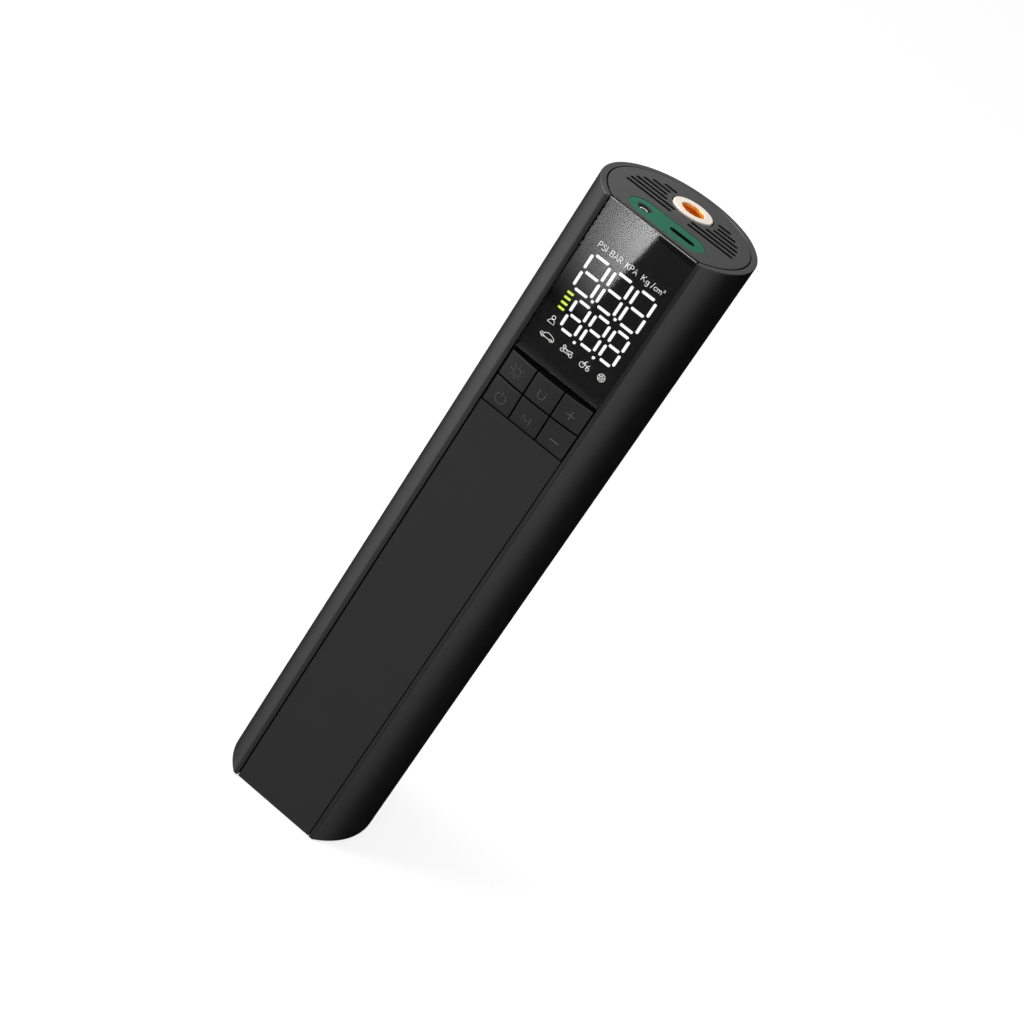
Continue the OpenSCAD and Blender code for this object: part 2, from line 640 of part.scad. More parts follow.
module main_board() color([0.05, 0.25, 0.13]) difference() {
    at(-main_board_w / 2, main_y, main_board_z) cube([main_board_w, board_t, main_board_l]);
    for (s = [-1, 1], z = main_post_z) screw_hole(s * main_post_x, main_y + board_t, z);
}
// Coil, capacitor, two chips and a connector on the back of the main board
parts_y = main_y + board_t;
coil_w = 8;
chip_w = 6;
chip_t = 1.4;
plug_w = 4;
plug_t = 1.8;
capacitor_h = 9;
power_z = motor_z - motor_r - 2 * coil_w;          // the coil and a chip stand here, under the motor
charge_z = main_board_z + 0.3 * main_board_l;      // and the battery's plug here
module board_parts() color([0.2, 0.2, 0.22]) {
    at(-coil_w, parts_y, power_z) cube([coil_w, 3, coil_w]);
    at(chip_w / 2, parts_y, power_z) cube([chip_w, chip_t, chip_w]);
    at(-chip_w / 2, parts_y, main_board_z + chip_w) cube([chip_w, chip_t, chip_w]);
    at(coil_w, parts_y, charge_z) cube([plug_w, plug_t, 2 * plug_w]);
    at(-coil_w, parts_y + plug_t, charge_z) cylinder(r = plug_t, h = capacitor_h);
    at(-socket_w / 2, parts_y, socket_z) cube([socket_w, socket_t, socket_h]);
    at(-socket_w / 2, board_y + board_t, front_socket_z) cube([socket_w, socket_t, socket_h]);
}
// Flat cable from the main board up to the front board
socket_w = 12;
socket_h = 4;
socket_t = 1.2;
socket_z = main_board_z + main_board_l - 3 * socket_h;
front_socket_z = front_board_z + socket_h;
ribbon_t = 0.3;
ribbon_w = 10;
ribbon_y0 = parts_y + socket_t / 2;
ribbon_y1 = board_y + board_t + socket_t / 2;
module ribbon_cable() color([0.85, 0.84, 0.78])
    translate([-ribbon_w / 2, 0, 0]) rotate([90, 0, 90]) linear_extrude(ribbon_w) polygon([
    [ribbon_y0, socket_z + socket_h], [ribbon_y0, front_board_z - 3 * socket_h],
    [ribbon_y1, front_board_z - socket_h], [ribbon_y1, front_socket_z],
    [ribbon_y1 + ribbon_t, front_socket_z], [ribbon_y1 + ribbon_t, front_board_z - socket_h],
    [ribbon_y0 + ribbon_t, front_board_z - 3 * socket_h], [ribbon_y0 + ribbon_t, socket_z + socket_h]
]);
module board_screws() color([0.75, 0.75, 0.77]) {
    for (s = [-1, 1], z = front_post_z) board_screw(s * post_x, board_y + board_t, z);
    for (s = [-1, 1], z = main_post_z) board_screw(s * main_post_x, main_y + board_t, z);
}
module board_screw(x, y, z) {
    along_y(x, y, z) cylinder(r = board_head_r, h = 0.8);
    along_y(x, y - 2.8, z) cylinder(r = board_screw_r, h = 2.8 + fit);
}

// ---- Motor, gears, crank and piston ----

frame_t = 2;
motor_front = body_w / 2 - wall - drive_room;       // X of the motor's front face
motor_l = body_w / 2 - wall - motor_room + motor_front;
centre_d = gear_module * (pinion_teeth + gear_teeth) / 2;
crank_z = motor_z + centre_d;
rod_x = motor_front + frame_t + 2.5;      // middle plane of the connecting rod and of the cylinder
rod_t = 3.6;
gear_x = rod_x + rod_t / 2 + 0.7;
arm_x = gear_x + gear_t + 0.7;
arm_t = 3;
gear_tip_r = gear_module * (gear_teeth / 2 + 0.6);
seat_z = crank_z + gear_tip_r + 2;
seat_t = 3;
cylinder_z = seat_z + seat_t;
cylinder_r = bore_r + cylinder_t;
eye_r = pin_r + 2.2;
small_eye_r = 3;
wrist_r = 1.5;
wrist_z = crank_z - crank_e + rod_l;      // wrist pin at the bottom of the stroke
piston_r = bore_r - 0.3;
piston_t = 1.1;
crown_t = 3.4;
piston_z = wrist_z - 4.5;
piston_crown_z = wrist_z + small_eye_r + 2 * crank_e + 0.4;
piston_top = piston_crown_z + crown_t;
deck_gap = 0.4;
cylinder_top = piston_top + 2 * crank_e + deck_gap;
valve_t = 1;
reed_t = 0.2;
head_z = cylinder_top + valve_t;
head_t = 4.5;
head_top = head_z + head_t;
tie_d = cylinder_r + 1.9;                 // distance of the long screws from the cylinder's axis
tie_r = 1.2;
tie_head_r = 2;
tie_head_h = 1.2;
lug_r = 2.2;
motor_screw_d = 8;
bush_r = 3;                               // collar on the motor's front face
bush_h = 1.5;
crank_bush_r = 4;

// Involute of a base circle, at a roll angle in degrees
function involute(rb, a) = [rb * (cos(a) + a * PI / 180 * sin(a)), rb * (sin(a) - a * PI / 180 * cos(a))];
function roll(rb, r) = r > rb ? sqrt(pow(r / rb, 2) - 1) * 180 / PI : 0;
function turned(p, a) = [p[0] * cos(a) - p[1] * sin(a), p[0] * sin(a) + p[1] * cos(a)];
pressure = 20;
flank_steps = 5;
module gear_outline(teeth, tip, root) {
    rp = gear_module * teeth / 2;
    rb = rp * cos(pressure);
    a0 = roll(rb, max(rb, root));
    a1 = roll(rb, tip);
    lean = 90 / teeth - backlash / 4 / rp * 180 / PI + tan(pressure) * 180 / PI - pressure;
    flank = [for (k = [0 : flank_steps]) turned(involute(rb, a0 + (a1 - a0) * k / flank_steps), -lean)];
    foot = [root * cos(-lean), root * sin(-lean)];
    tooth = concat(root < rb ? [foot] : [], flank);
    polygon([for (i = [0 : teeth - 1]) each concat(
        [for (p = tooth) turned(p, i * 360 / teeth)],
        [for (k = [len(tooth) - 1 : -1 : 0]) turned([tooth[k][0], -tooth[k][1]], i * 360 / teeth)]
    )]);
}
// Gear in the YZ plane, its first tooth turned to an angle from +Y, its roots 1.25 modules under the pitch circle
module gear(teeth, tip, start, z) translate([gear_x, mid_y, z]) rotate([90, 0, 90]) rotate(start)
    linear_extrude(gear_t) gear_outline(teeth, tip, gear_module * (teeth / 2 - 1.25));

module at_ties(z) for (a = [45 : 90 : 315]) at(rod_x + tie_d * cos(a), mid_y + tie_d * sin(a), z) children();
module at_motor_screws(x) for (s = [-1, 1]) translate([x, mid_y + s * motor_screw_d, motor_z])
    rotate([0, 90, 0]) children();
arm_r = 6;
module pump_frame() color([0.55, 0.56, 0.58]) difference() {
    union() {
        bulkhead(slip, board_y + board_t + slip, seat_z, seat_t);
        along_x(motor_front, motor_z) cylinder(r = motor_r, h = frame_t);
        at(motor_front, mid_y - motor_r, motor_z) cube([frame_t, 2 * motor_r, seat_z - motor_z + fit]);
        along_x(arm_x, crank_z) cylinder(r = arm_r, h = arm_t);
        at(arm_x, mid_y - arm_r, crank_z) cube([arm_t, 2 * arm_r, seat_z - crank_z + fit]);
    }
    at(rod_x, mid_y, seat_z - through) cylinder(r = bore_r - 0.3, h = seat_t + 2 * through);
    along_x(arm_x - through, crank_z) cylinder(r = crank_bush_r + fit, h = arm_t + 2 * through);
    along_x(motor_front - through, motor_z) cylinder(r = bush_r + fit, h = frame_t + 2 * through);
    at_motor_screws(motor_front - through) cylinder(r = motor_screw_r + fit, h = frame_t + 2 * through);
    at_ties(seat_z - through) cylinder(r = tie_r + fit, h = seat_t + 2 * through);
    at_bosses(frame_angles, seat_z - through) cylinder(r = base_screw_r + fit, h = seat_t + 2 * through);
}
frame_screw_l = seat_t + frame_boss_h - 0.5;
module frame_screws() color([0.75, 0.75, 0.77]) at_bosses(frame_angles, seat_z + seat_t) {
    cylinder(r = base_head_r, h = base_head_h);
    at(0, 0, -frame_screw_l) cylinder(r = base_screw_r, h = frame_screw_l + fit);
}
module crank_bush() color([0.72, 0.55, 0.30])
    along_x(arm_x, crank_z) ring(crank_bush_r, crank_shaft_r + run_gap, arm_t);

motor_screw_r = 1;
module motor_can() color([0.62, 0.63, 0.65]) along_x(motor_front - motor_l, motor_z) difference() {
    union() {
        cylinder(r = motor_r, h = motor_l);
        cylinder(r = bush_r, h = motor_l + bush_h);
    }
    at(0, 0, -through) cylinder(r = motor_r - can_t, h = motor_l - can_t + through);
    cylinder(r = shaft_r + run_gap, h = motor_l + bush_h + through);
    for (s = [-1, 1]) translate([0, s * motor_screw_d, motor_l - 2 * can_t])
        cylinder(r = motor_screw_r + fit / 2, h = 3 * can_t);
}
end_cap_t = 3;
end_cap_floor = 1;
terminal_l = 1.2;
terminal_w = 2.4;
terminal_t = 0.6;
terminal_y = motor_r / 2;
module motor_end_cap() color([0.12, 0.12, 0.13]) along_x(motor_front - motor_l, motor_z) difference() {
    union() {
        cylinder(r = motor_r - can_t - fit, h = end_cap_t);
        for (s = [-1, 1]) at(-terminal_w / 2, s * terminal_y - terminal_t / 2, -terminal_l)
            cube([terminal_w, terminal_t, terminal_l + fit]);
    }
    at(0, 0, end_cap_floor) cylinder(r = shaft_r + run_gap, h = end_cap_t);
}
magnet_front = 1;                         // gap between the magnets and the can's front wall
magnet_back = end_cap_t + 4;              // brushes and commutator stand in this length behind the magnets
magnet_split = 10;                        // width of each gap between the two magnets
magnet_l = motor_l - can_t - magnet_front - magnet_back;
magnet_in_r = motor_r - can_t - magnet_t;
module motor_magnets() color([0.20, 0.20, 0.22])
    along_x(motor_front - can_t - magnet_front - magnet_l, motor_z) difference() {
        ring(motor_r - can_t - fit, magnet_in_r, magnet_l);
        for (s = [-1, 1]) at(-motor_r, s * motor_r - magnet_split / 2, -through)
            cube([2 * motor_r, magnet_split, magnet_l + 2 * through]);
    }
motor_screw_l = frame_t + can_t - 0.2;
module motor_screws() color([0.75, 0.75, 0.77]) at_motor_screws(motor_front + frame_t) {
    cylinder(r = 1.9, h = 0.6);
    at(0, 0, -motor_screw_l) cylinder(r = motor_screw_r, h = motor_screw_l + fit);
}

rotor_r = magnet_in_r - rotor_gap;
rotor_inset = 2;                          // how far each end of the rotor's core lies inside the magnets
rotor_l = magnet_l - 2 * rotor_inset;
rotor_x = motor_front - can_t - magnet_front - rotor_inset - rotor_l;
core_r = 3;
tooth_w = 2.4;
pole_t = 1.4;
pole_slot = 1;
poles = 5;
module armature() color([0.45, 0.46, 0.48]) along_x(rotor_x, motor_z) difference() {
    linear_extrude(rotor_l) {
        circle(r = core_r);
        for (i = [0 : poles - 1]) rotate(i * 360 / poles) translate([0, -tooth_w / 2])
            square([rotor_r - pole_t / 2, tooth_w]);
        difference() {
            circle(r = rotor_r);
            circle(r = rotor_r - pole_t);
            for (i = [0 : poles - 1]) rotate((i + 0.5) * 360 / poles) translate([0, -pole_slot / 2])
                square([rotor_r + through, pole_slot]);
        }
    }
    at(0, 0, -through) cylinder(r = shaft_r, h = rotor_l + 2 * through);
}
wire_t = 1;
wire_in_r = core_r + 1.2;                 // the coils start here and end just under the poles
wire_out_r = rotor_r - pole_t - 0.4;
module windings() color([0.72, 0.40, 0.18]) along_x(rotor_x, motor_z)
    for (i = [0 : poles - 1]) rotate(i * 360 / poles) difference() {
        at(wire_in_r, -tooth_w / 2 - wire_t, -wire_t)
            cube([wire_out_r - wire_in_r, tooth_w + 2 * wire_t, rotor_l + 2 * wire_t]);
        at(0, -tooth_w / 2, 0) cube([rotor_r, tooth_w, rotor_l]);
    }
// Commutator behind the windings, and the two brushes that press on it
commutator_r = 2.4;
commutator_l = rotor_x - wire_t - slip - (motor_front - motor_l + end_cap_t + slip);
commutator_x = rotor_x - wire_t - slip - commutator_l;
module commutator() color([0.75, 0.45, 0.20])
    along_x(commutator_x, motor_z) ring(commutator_r, shaft_r, commutator_l);
brush_w = 2;
brush_l = 3;
module brushes() color([0.25, 0.24, 0.23]) along_x(motor_front - motor_l + end_cap_t, motor_z)
    for (s = [0, 1]) mirror([0, s, 0])
        at(-brush_w / 2, commutator_r + fit, 0) cube([brush_w, brush_l, commutator_l - 0.5]);
shaft_x = motor_front - motor_l + end_cap_floor + slip;
shaft_end = gear_x + gear_t;
module motor_shaft() color([0.80, 0.80, 0.82])
    along_x(shaft_x, motor_z) cylinder(r = shaft_r, h = shaft_end - shaft_x);
module pinion() color([0.80, 0.62, 0.28]) difference() {
    gear(pinion_teeth, gear_module * (pinion_teeth / 2 + 1), 90, motor_z);
    along_x(gear_x - through, motor_z) cylinder(r = shaft_r, h = gear_t + 2 * through);
}

lightening_r = 2.3;
lightening_d = 6.2;
lightening_angles = [0, 60, 120, 180];    // the pin takes the place of the two holes at the bottom
module crank_gear() color([0.85, 0.84, 0.80]) difference() {
    gear(gear_teeth, gear_tip_r, 90 + 180 / gear_teeth, crank_z);
    along_x(gear_x - through, crank_z) cylinder(r = crank_shaft_r, h = gear_t + 2 * through);
    along_x(gear_x - through, crank_z - crank_e) cylinder(r = pin_r, h = gear_t - web + through);
    for (a = lightening_angles)
        translate([gear_x - through, mid_y + lightening_d * cos(a), crank_z + lightening_d * sin(a)])
            rotate([0, 90, 0]) cylinder(r = lightening_r, h = gear_t + 2 * through);
}
web = 1;                                  // what is left of the gear behind the pin
module crank_shaft() color([0.80, 0.80, 0.82])
    along_x(gear_x, crank_z) cylinder(r = crank_shaft_r, h = arm_x + arm_t + 0.5 - gear_x);
crank_pin_x = rod_x - rod_t / 2 - slip;
module crank_pin() color([0.80, 0.80, 0.82])
    along_x(crank_pin_x, crank_z - crank_e) cylinder(r = pin_r, h = gear_x + gear_t - web - crank_pin_x);

// The rod's shank is a thin web between two ribs, and narrows from the crank's eye to the small one
rod_web = 1.8;
rod_foot = 3;
rod_neck = 2.2;
rod_rib = 0.95;
module shank(t) translate([rod_x - t / 2, mid_y, crank_z - crank_e]) rotate([90, 0, 90])
    linear_extrude(t) children();
module con_rod() color([0.60, 0.61, 0.63]) difference() {
    union() {
        along_x(rod_x - rod_t / 2, crank_z - crank_e) cylinder(r = eye_r, h = rod_t);
        along_x(rod_x - rod_t / 2, wrist_z) cylinder(r = small_eye_r, h = rod_t);
        shank(rod_web) polygon([[-rod_foot, 0], [rod_foot, 0], [rod_neck, rod_l], [-rod_neck, rod_l]]);
        for (s = [-1, 1]) shank(rod_t) polygon([
            [s * rod_foot, 0], [s * (rod_foot - rod_rib), 0],
            [s * (rod_neck - rod_rib), rod_l], [s * rod_neck, rod_l]
        ]);
    }
    along_x(rod_x - rod_t, crank_z - crank_e) cylinder(r = pin_r + run_gap, h = 2 * rod_t);
    along_x(rod_x - rod_t, wrist_z) cylinder(r = wrist_r, h = 2 * rod_t);
}
wrist_l = 9;
module wrist_pin() color([0.80, 0.80, 0.82])
    along_x(rod_x - wrist_l / 2, wrist_z) cylinder(r = wrist_r, h = wrist_l);

seal_h = 1.8;
seal_z = piston_top - seal_h - 1;
seal_depth = 1.2;
flap_r = 4;
intake_r = 0.8;
intake_d = 2.5;
module piston() color([0.88, 0.87, 0.84]) at(rod_x, mid_y, 0) difference() {
    at(0, 0, piston_z) cylinder(r = piston_r, h = piston_top - piston_z);
    at(0, 0, piston_z - through) cylinder(r = piston_r - piston_t, h = piston_crown_z - piston_z + through);
    at(0, 0, seal_z) ring(bore_r, piston_r - seal_depth, seal_h);
    for (a = [0 : 120 : 240]) rotate(a)
        at(intake_d, 0, piston_crown_z - through) cylinder(r = intake_r, h = crown_t + 2 * through);
}
module piston_seal() color([0.10, 0.10, 0.10])
    at(rod_x, mid_y, seal_z) ring(bore_r - run_gap, piston_r - seal_depth + fit / 2, seal_h);
module intake_flap() color([0.70, 0.30, 0.12])
    at(rod_x, mid_y, piston_top) cylinder(r = flap_r, h = reed_t);

fin_r = cylinder_r + 1;
fin_t = 1;
fin_pitch = 3;
flange_t = 2;
module lugs(z, h) at(rod_x, mid_y, z) linear_extrude(h) {
    circle(r = cylinder_r);
    for (a = [45 : 90 : 315]) rotate(a) {
        translate([tie_d, 0]) circle(r = lug_r);
        translate([0, 0.4 - lug_r]) square([tie_d, 2 * lug_r - 0.8]);
    }
}
module tie_holes(z, h) at_ties(z - through) cylinder(r = tie_r + fit, h = h + 2 * through);
module pump_cylinder() color([0.72, 0.73, 0.75]) difference() {
    union() {
        at(rod_x, mid_y, cylinder_z) cylinder(r = cylinder_r, h = cylinder_top - cylinder_z);
        lugs(cylinder_z, flange_t);
        lugs(cylinder_top - flange_t, flange_t);
        for (z = [cylinder_z + flange_t + fin_pitch : fin_pitch : cylinder_top - flange_t - fin_pitch])
            at(rod_x, mid_y, z) cylinder(r = fin_r, h = fin_t);
    }
    at(rod_x, mid_y, cylinder_z - through) cylinder(r = bore_r, h = cylinder_top - cylinder_z + 2 * through);
    tie_holes(cylinder_z, cylinder_top - cylinder_z);
}
port_r = 1.5;
module valve_plate() color([0.78, 0.78, 0.80]) difference() {
    lugs(cylinder_top, valve_t);
    at(rod_x, mid_y, cylinder_top - through) cylinder(r = port_r, h = valve_t + 2 * through);
    tie_holes(cylinder_top, valve_t);
}
reed_l = 9;
reed_w = 4;
reed_root = 5;                            // from the port back to the reed's fixed end
module outlet_reed() color([0.70, 0.72, 0.75])
    at(rod_x - reed_root, mid_y - reed_w / 2, head_z) cube([reed_l, reed_w, reed_t]);
chamber_r = 7;
chamber_h = 2.5;
barb_h = 7;
module cylinder_head() color([0.66, 0.67, 0.69]) difference() {
    union() {
        lugs(head_z, head_t);
        at(rod_x, mid_y, head_top) cylinder(r = nipple_r, h = barb_h);
    }
    at(rod_x, mid_y, head_z - through) cylinder(r = chamber_r, h = chamber_h + through);
    at(rod_x, mid_y, head_z) cylinder(r = air_r, h = head_t + barb_h + through);
    tie_holes(head_z, head_t);
}
head_screw_l = head_top - seat_z;
module head_screws() color([0.75, 0.75, 0.77]) {
    at_ties(head_top) cylinder(r = tie_head_r, h = tie_head_h);
    at_ties(seat_z) cylinder(r = tie_r, h = head_screw_l + fit);
}
sensor_w = 5;
sensor_d = 3.6;
sensor_h = 3;
sensor_gap = 3.5;                         // room between the sensor and the tube
module pressure_sensor() color([0.12, 0.12, 0.13])
    at(rod_x - tube_r - sensor_gap - sensor_d, mid_y - sensor_w / 2, head_top)
        cube([sensor_d, sensor_w, sensor_h]);

// Soft tube from the head's nipple to the outlet's nipple: two bends that turn back to upright
tube_dx = -rod_x;
tube_dy = outlet_y - mid_y;
tube_reach = sqrt(pow(tube_dx, 2) + pow(tube_dy, 2));
tube_slant = 4;                           // straight stretch between the two bends
tube_turn = atan2(2 * tube_bend_r, tube_slant)
    + asin((tube_reach - 2 * tube_bend_r) / sqrt(pow(tube_slant, 2) + pow(2 * tube_bend_r, 2)));
tube_rise = 2 * tube_bend_r * sin(tube_turn) + tube_slant * cos(tube_turn);
tube_z0 = head_top + slip;
tube_l = insert_flange_z - slip - tube_z0;
tube_low = 8;
tube_sides = 16;
bend_steps = 8;
// Middle line of the tube: how far across, how far up, and how far it leans
tube_line = concat(
    [[0, 0, 0]],
    [for (k = [0 : bend_steps]) let (a = tube_turn * k / bend_steps)
        [tube_bend_r * (1 - cos(a)), tube_low + tube_bend_r * sin(a), a]],
    [for (k = [bend_steps : -1 : 0]) let (a = tube_turn * k / bend_steps)
        [tube_reach - tube_bend_r * (1 - cos(a)), tube_low + tube_rise - tube_bend_r * sin(a), a]],
    [[tube_reach, tube_l, 0]]
);
function tube_ring(p, r) = [for (k = [0 : tube_sides - 1]) let (t = 360 * k / tube_sides)
    [p[0] + r * cos(t) * cos(p[2]), r * sin(t), p[1] - r * cos(t) * sin(p[2])]];
module air_tube() {
    n = tube_sides;
    rings = len(tube_line);
    inner = rings * n;
    last = (rings - 1) * n;
    points = concat(
        [for (p = tube_line) each tube_ring(p, tube_r)],
        [for (p = tube_line) each tube_ring(p, tube_bore_r / cos(180 / n))]
    );
    faces = concat(
        [for (i = [0 : rings - 2], k = [0 : n - 1])
            let (a = i * n + k, b = i * n + (k + 1) % n) [a, a + n, b + n, b]],
        [for (i = [0 : rings - 2], k = [0 : n - 1])
            let (a = inner + i * n + k, b = inner + i * n + (k + 1) % n) [a, b, b + n, a + n]],
        [for (k = [0 : n - 1]) let (b = (k + 1) % n) [k, b, inner + b, inner + k]],
        [for (k = [0 : n - 1]) let (b = (k + 1) % n) [last + k, inner + last + k, inner + last + b, last + b]]
    );
    color([0.12, 0.12, 0.12])
        translate([rod_x, mid_y, tube_z0]) rotate(atan2(tube_dy, tube_dx)) polyhedron(points, faces);
}

body_shell();
lower_panel();
display_lens();
front_carrier();
display_block();
front_board();
lamp_key();
unit_key();
plus_key();
power_key();
mode_key();
minus_key();
tact_switches();
top_cap();
port_plate();
lamp_bezel();
lamp_led();
usb_socket();
port_board();
outlet_collar();
outlet_insert();
air_tube();
bottom_cap();
bottom_screws();
battery_cells();
cell_links();
lower_holder();
upper_holder();
main_board();
board_parts();
board_screws();
ribbon_cable();
pump_frame();
frame_screws();
motor_can();
motor_end_cap();
motor_magnets();
motor_screws();
brushes();
armature();
windings();
commutator();
motor_shaft();
pinion();
crank_gear();
crank_shaft();
crank_pin();
crank_bush();
con_rod();
wrist_pin();
piston();
piston_seal();
intake_flap();
pump_cylinder();
valve_plate();
outlet_reed();
cylinder_head();
head_screws();
pressure_sensor();
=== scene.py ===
# %% [markdown]
# # A portable tyre inflator
#
# The solids of the pump come from the CAD frame: a D-shaped body, a front strip with a display and six keys, a cap
# with vents, and the cells, motor, gears and piston inside. This script gives them their finish: rounded edges, a
# lit display, printed signs, a thread in the outlet, and a material for every surface. It is written for a reader
# who is learning Blender.

import json
import math

import bmesh
import bpy
from mathutils import Matrix, Vector


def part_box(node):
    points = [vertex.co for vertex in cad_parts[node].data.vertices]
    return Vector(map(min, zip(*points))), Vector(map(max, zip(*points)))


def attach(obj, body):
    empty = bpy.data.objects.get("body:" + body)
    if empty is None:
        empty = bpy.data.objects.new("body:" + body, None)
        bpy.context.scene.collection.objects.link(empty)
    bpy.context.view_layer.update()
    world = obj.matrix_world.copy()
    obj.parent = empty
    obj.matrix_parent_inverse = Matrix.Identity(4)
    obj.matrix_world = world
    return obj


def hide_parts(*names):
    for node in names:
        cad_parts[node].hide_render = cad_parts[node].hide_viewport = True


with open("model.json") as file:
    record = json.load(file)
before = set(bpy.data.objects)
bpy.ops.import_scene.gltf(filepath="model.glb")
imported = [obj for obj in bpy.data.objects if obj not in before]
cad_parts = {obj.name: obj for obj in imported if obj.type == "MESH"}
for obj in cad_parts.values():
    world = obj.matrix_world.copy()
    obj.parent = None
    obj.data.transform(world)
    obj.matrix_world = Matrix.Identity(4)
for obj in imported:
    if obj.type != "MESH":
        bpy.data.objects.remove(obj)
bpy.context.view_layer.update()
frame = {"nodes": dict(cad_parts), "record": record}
nodes = frame["nodes"]
MM = 0.001
body_of = {node: body for body, members in frame["record"]["behaviour"]["bodies"].items() for node in members}
slot_of = {part["node"]: part["material_slot"] for part in frame["record"]["subparts"]}

# %% [markdown]
# ## Places that the finish is measured from
#
# A printed sign or a lit digit has to lie on the real face of the strip, so the places are read from the frame's
# boxes and not typed. The rim is the body's top edge, and heights on the display are measured down from it, because
# the display hangs from the rim on the real pump too.

# %% Read the main faces from the frame
rim_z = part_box("body_shell")[1].z / MM
strip_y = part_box("lower_panel")[0].y / MM
lens_front_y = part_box("display_lens")[0].y / MM
lens_foot_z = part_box("display_lens")[0].z / MM
block_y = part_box("display_block")[0].y / MM
keys_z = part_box("power_key")[0].z / MM
keys_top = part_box("lamp_key")[1].z / MM
cap_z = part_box("top_cap")[1].z / MM
plate_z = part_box("port_plate")[1].z / MM
print(f"rim {rim_z:.1f}, strip face {strip_y:.2f}, keys {keys_z:.1f} to {keys_top:.1f} mm")

# %% [markdown]
# ## Camera
#
# The camera looks down on the upright pump from the front and a little to the right. It is rolled by more than
# a third of a right angle, so the pump lies slantwise in the picture. A long lens, far away, keeps the long
# edges nearly parallel. A target point and a roll say more to a reader than a matrix does.

# %% Make the camera
CAMERA_PLACE = Vector((119.244, -581.781, 437.263)) * MM
CAMERA_TARGET = Vector((6.7256, 0, 125.4998)) * MM
CAMERA_ROLL = math.radians(33.9788)
LENS_MM = 77.409
SENSOR_MM = 36
NEAREST = 10 * MM

bpy.ops.object.camera_add()
camera = bpy.context.object
camera.data.lens = LENS_MM
camera.data.sensor_width = SENSOR_MM
camera.data.clip_start = NEAREST
look = (CAMERA_TARGET - CAMERA_PLACE).to_track_quat("-Z", "Y").to_matrix().to_4x4()
camera.matrix_world = Matrix.Translation(CAMERA_PLACE) @ look @ Matrix.Rotation(CAMERA_ROLL, 4, "Z")
bpy.context.scene.camera = camera
bpy.context.scene.view_settings.view_transform = "Standard"
print("camera at", camera.location)

# %% [markdown]
# ## Writing node maths as maths
#
# A material is a tree of nodes, and a tree is hard to read as a list of links. The class below wraps one output of
# a node, so that `1 - mask * 0.5` adds its own Math nodes. Its `node` method adds any other node: first the
# settings that change what the node is, then the values or links of its sockets.


# %% Wrap a node's output
class Wire:
    """One output in a node tree, with the maths that a material needs."""

    def __init__(self, tree, socket):
        self.tree = tree
        self.socket = socket

    def node(self, kind, settings, sockets, output=0):
        made = self.tree.nodes.new(kind)
        for name, value in settings.items():
            setattr(made, name, value)
        for name, value in sockets.items():
            feed(self.tree, made.inputs[name], value)
        return Wire(self.tree, made.outputs[output])

    def maths(self, operation, first, second):
        return self.node("ShaderNodeMath", {"operation": operation}, {0: first, 1: second})

    def __add__(self, other):
        return self.maths("ADD", self, other)

    def __radd__(self, other):
        return self.maths("ADD", other, self)

    def __sub__(self, other):
        return self.maths("SUBTRACT", self, other)

    def __rsub__(self, other):
        return self.maths("SUBTRACT", other, self)

    def __mul__(self, other):
        return self.maths("MULTIPLY", self, other)

    def __rmul__(self, other):
        return self.maths("MULTIPLY", other, self)

    def __gt__(self, other):
        return self.maths("GREATER_THAN", self, other)

    def __lt__(self, other):
        return self.maths("LESS_THAN", self, other)

    def fraction(self):
        return self.node("ShaderNodeMath", {"operation": "FRACT"}, {0: self})

    def mix(self, first, second):
        """The first colour where this is 0 and the second where it is 1."""
        return self.node("ShaderNodeMix", {"data_type": "RGBA"}, {0: self, 6: first, 7: second}, output=2)


def feed(tree, socket, value):
    if isinstance(value, Wire):
        tree.links.new(value.socket, socket)
    else:
        socket.default_value = value


def grey(level):
    return (level, level, level, 1)


def colour(red, green, blue):
    return (red, green, blue, 1)


# %% [markdown]
# ## Floor, backdrop and light
#
# The pump stands on a plain white floor in a white room, which is the world. The camera, and rays that pass through
# clear parts, see it as plain white. As a light it is softer, because the lamps add the rest. A dark satin body is
# drawn by its reflections, so reflections see walls: a dim one in front, a bright one on the left, a narrower one on
# the right and a pale ceiling, with black between them and behind. Low down they are shaded to about half, as by a
# dark table. So the left flank gets its sheen, and the right flank falls into black. The floor is real, so that the
# pump's shadow lies on it, but reflections look past it.

# %% Make the room
ROOM_LIGHT = 0.32
WHITE = 1.0

world = bpy.data.worlds.new("room")
bpy.context.scene.world = world
world.use_nodes = True
room = Wire(world.node_tree, None)
room_rays = room.node("ShaderNodeLightPath", {}, {})
toward = room.node("ShaderNodeTexCoord", {}, {})


def ray(name):
    return Wire(world.node_tree, room_rays.socket.node.outputs[name])


def facing(direction, dark, full, most, least=0.0):
    """From least to most as a ray turns towards a direction, between two cosines."""
    along = toward.node("ShaderNodeVectorMath", {"operation": "DOT_PRODUCT"}, {0: toward, 1: direction}, output=1)
    return along.node("ShaderNodeMapRange", {"interpolation_type": "SMOOTHSTEP"},
                      {"Value": along, 1: dark, 2: full, 3: least, 4: most})


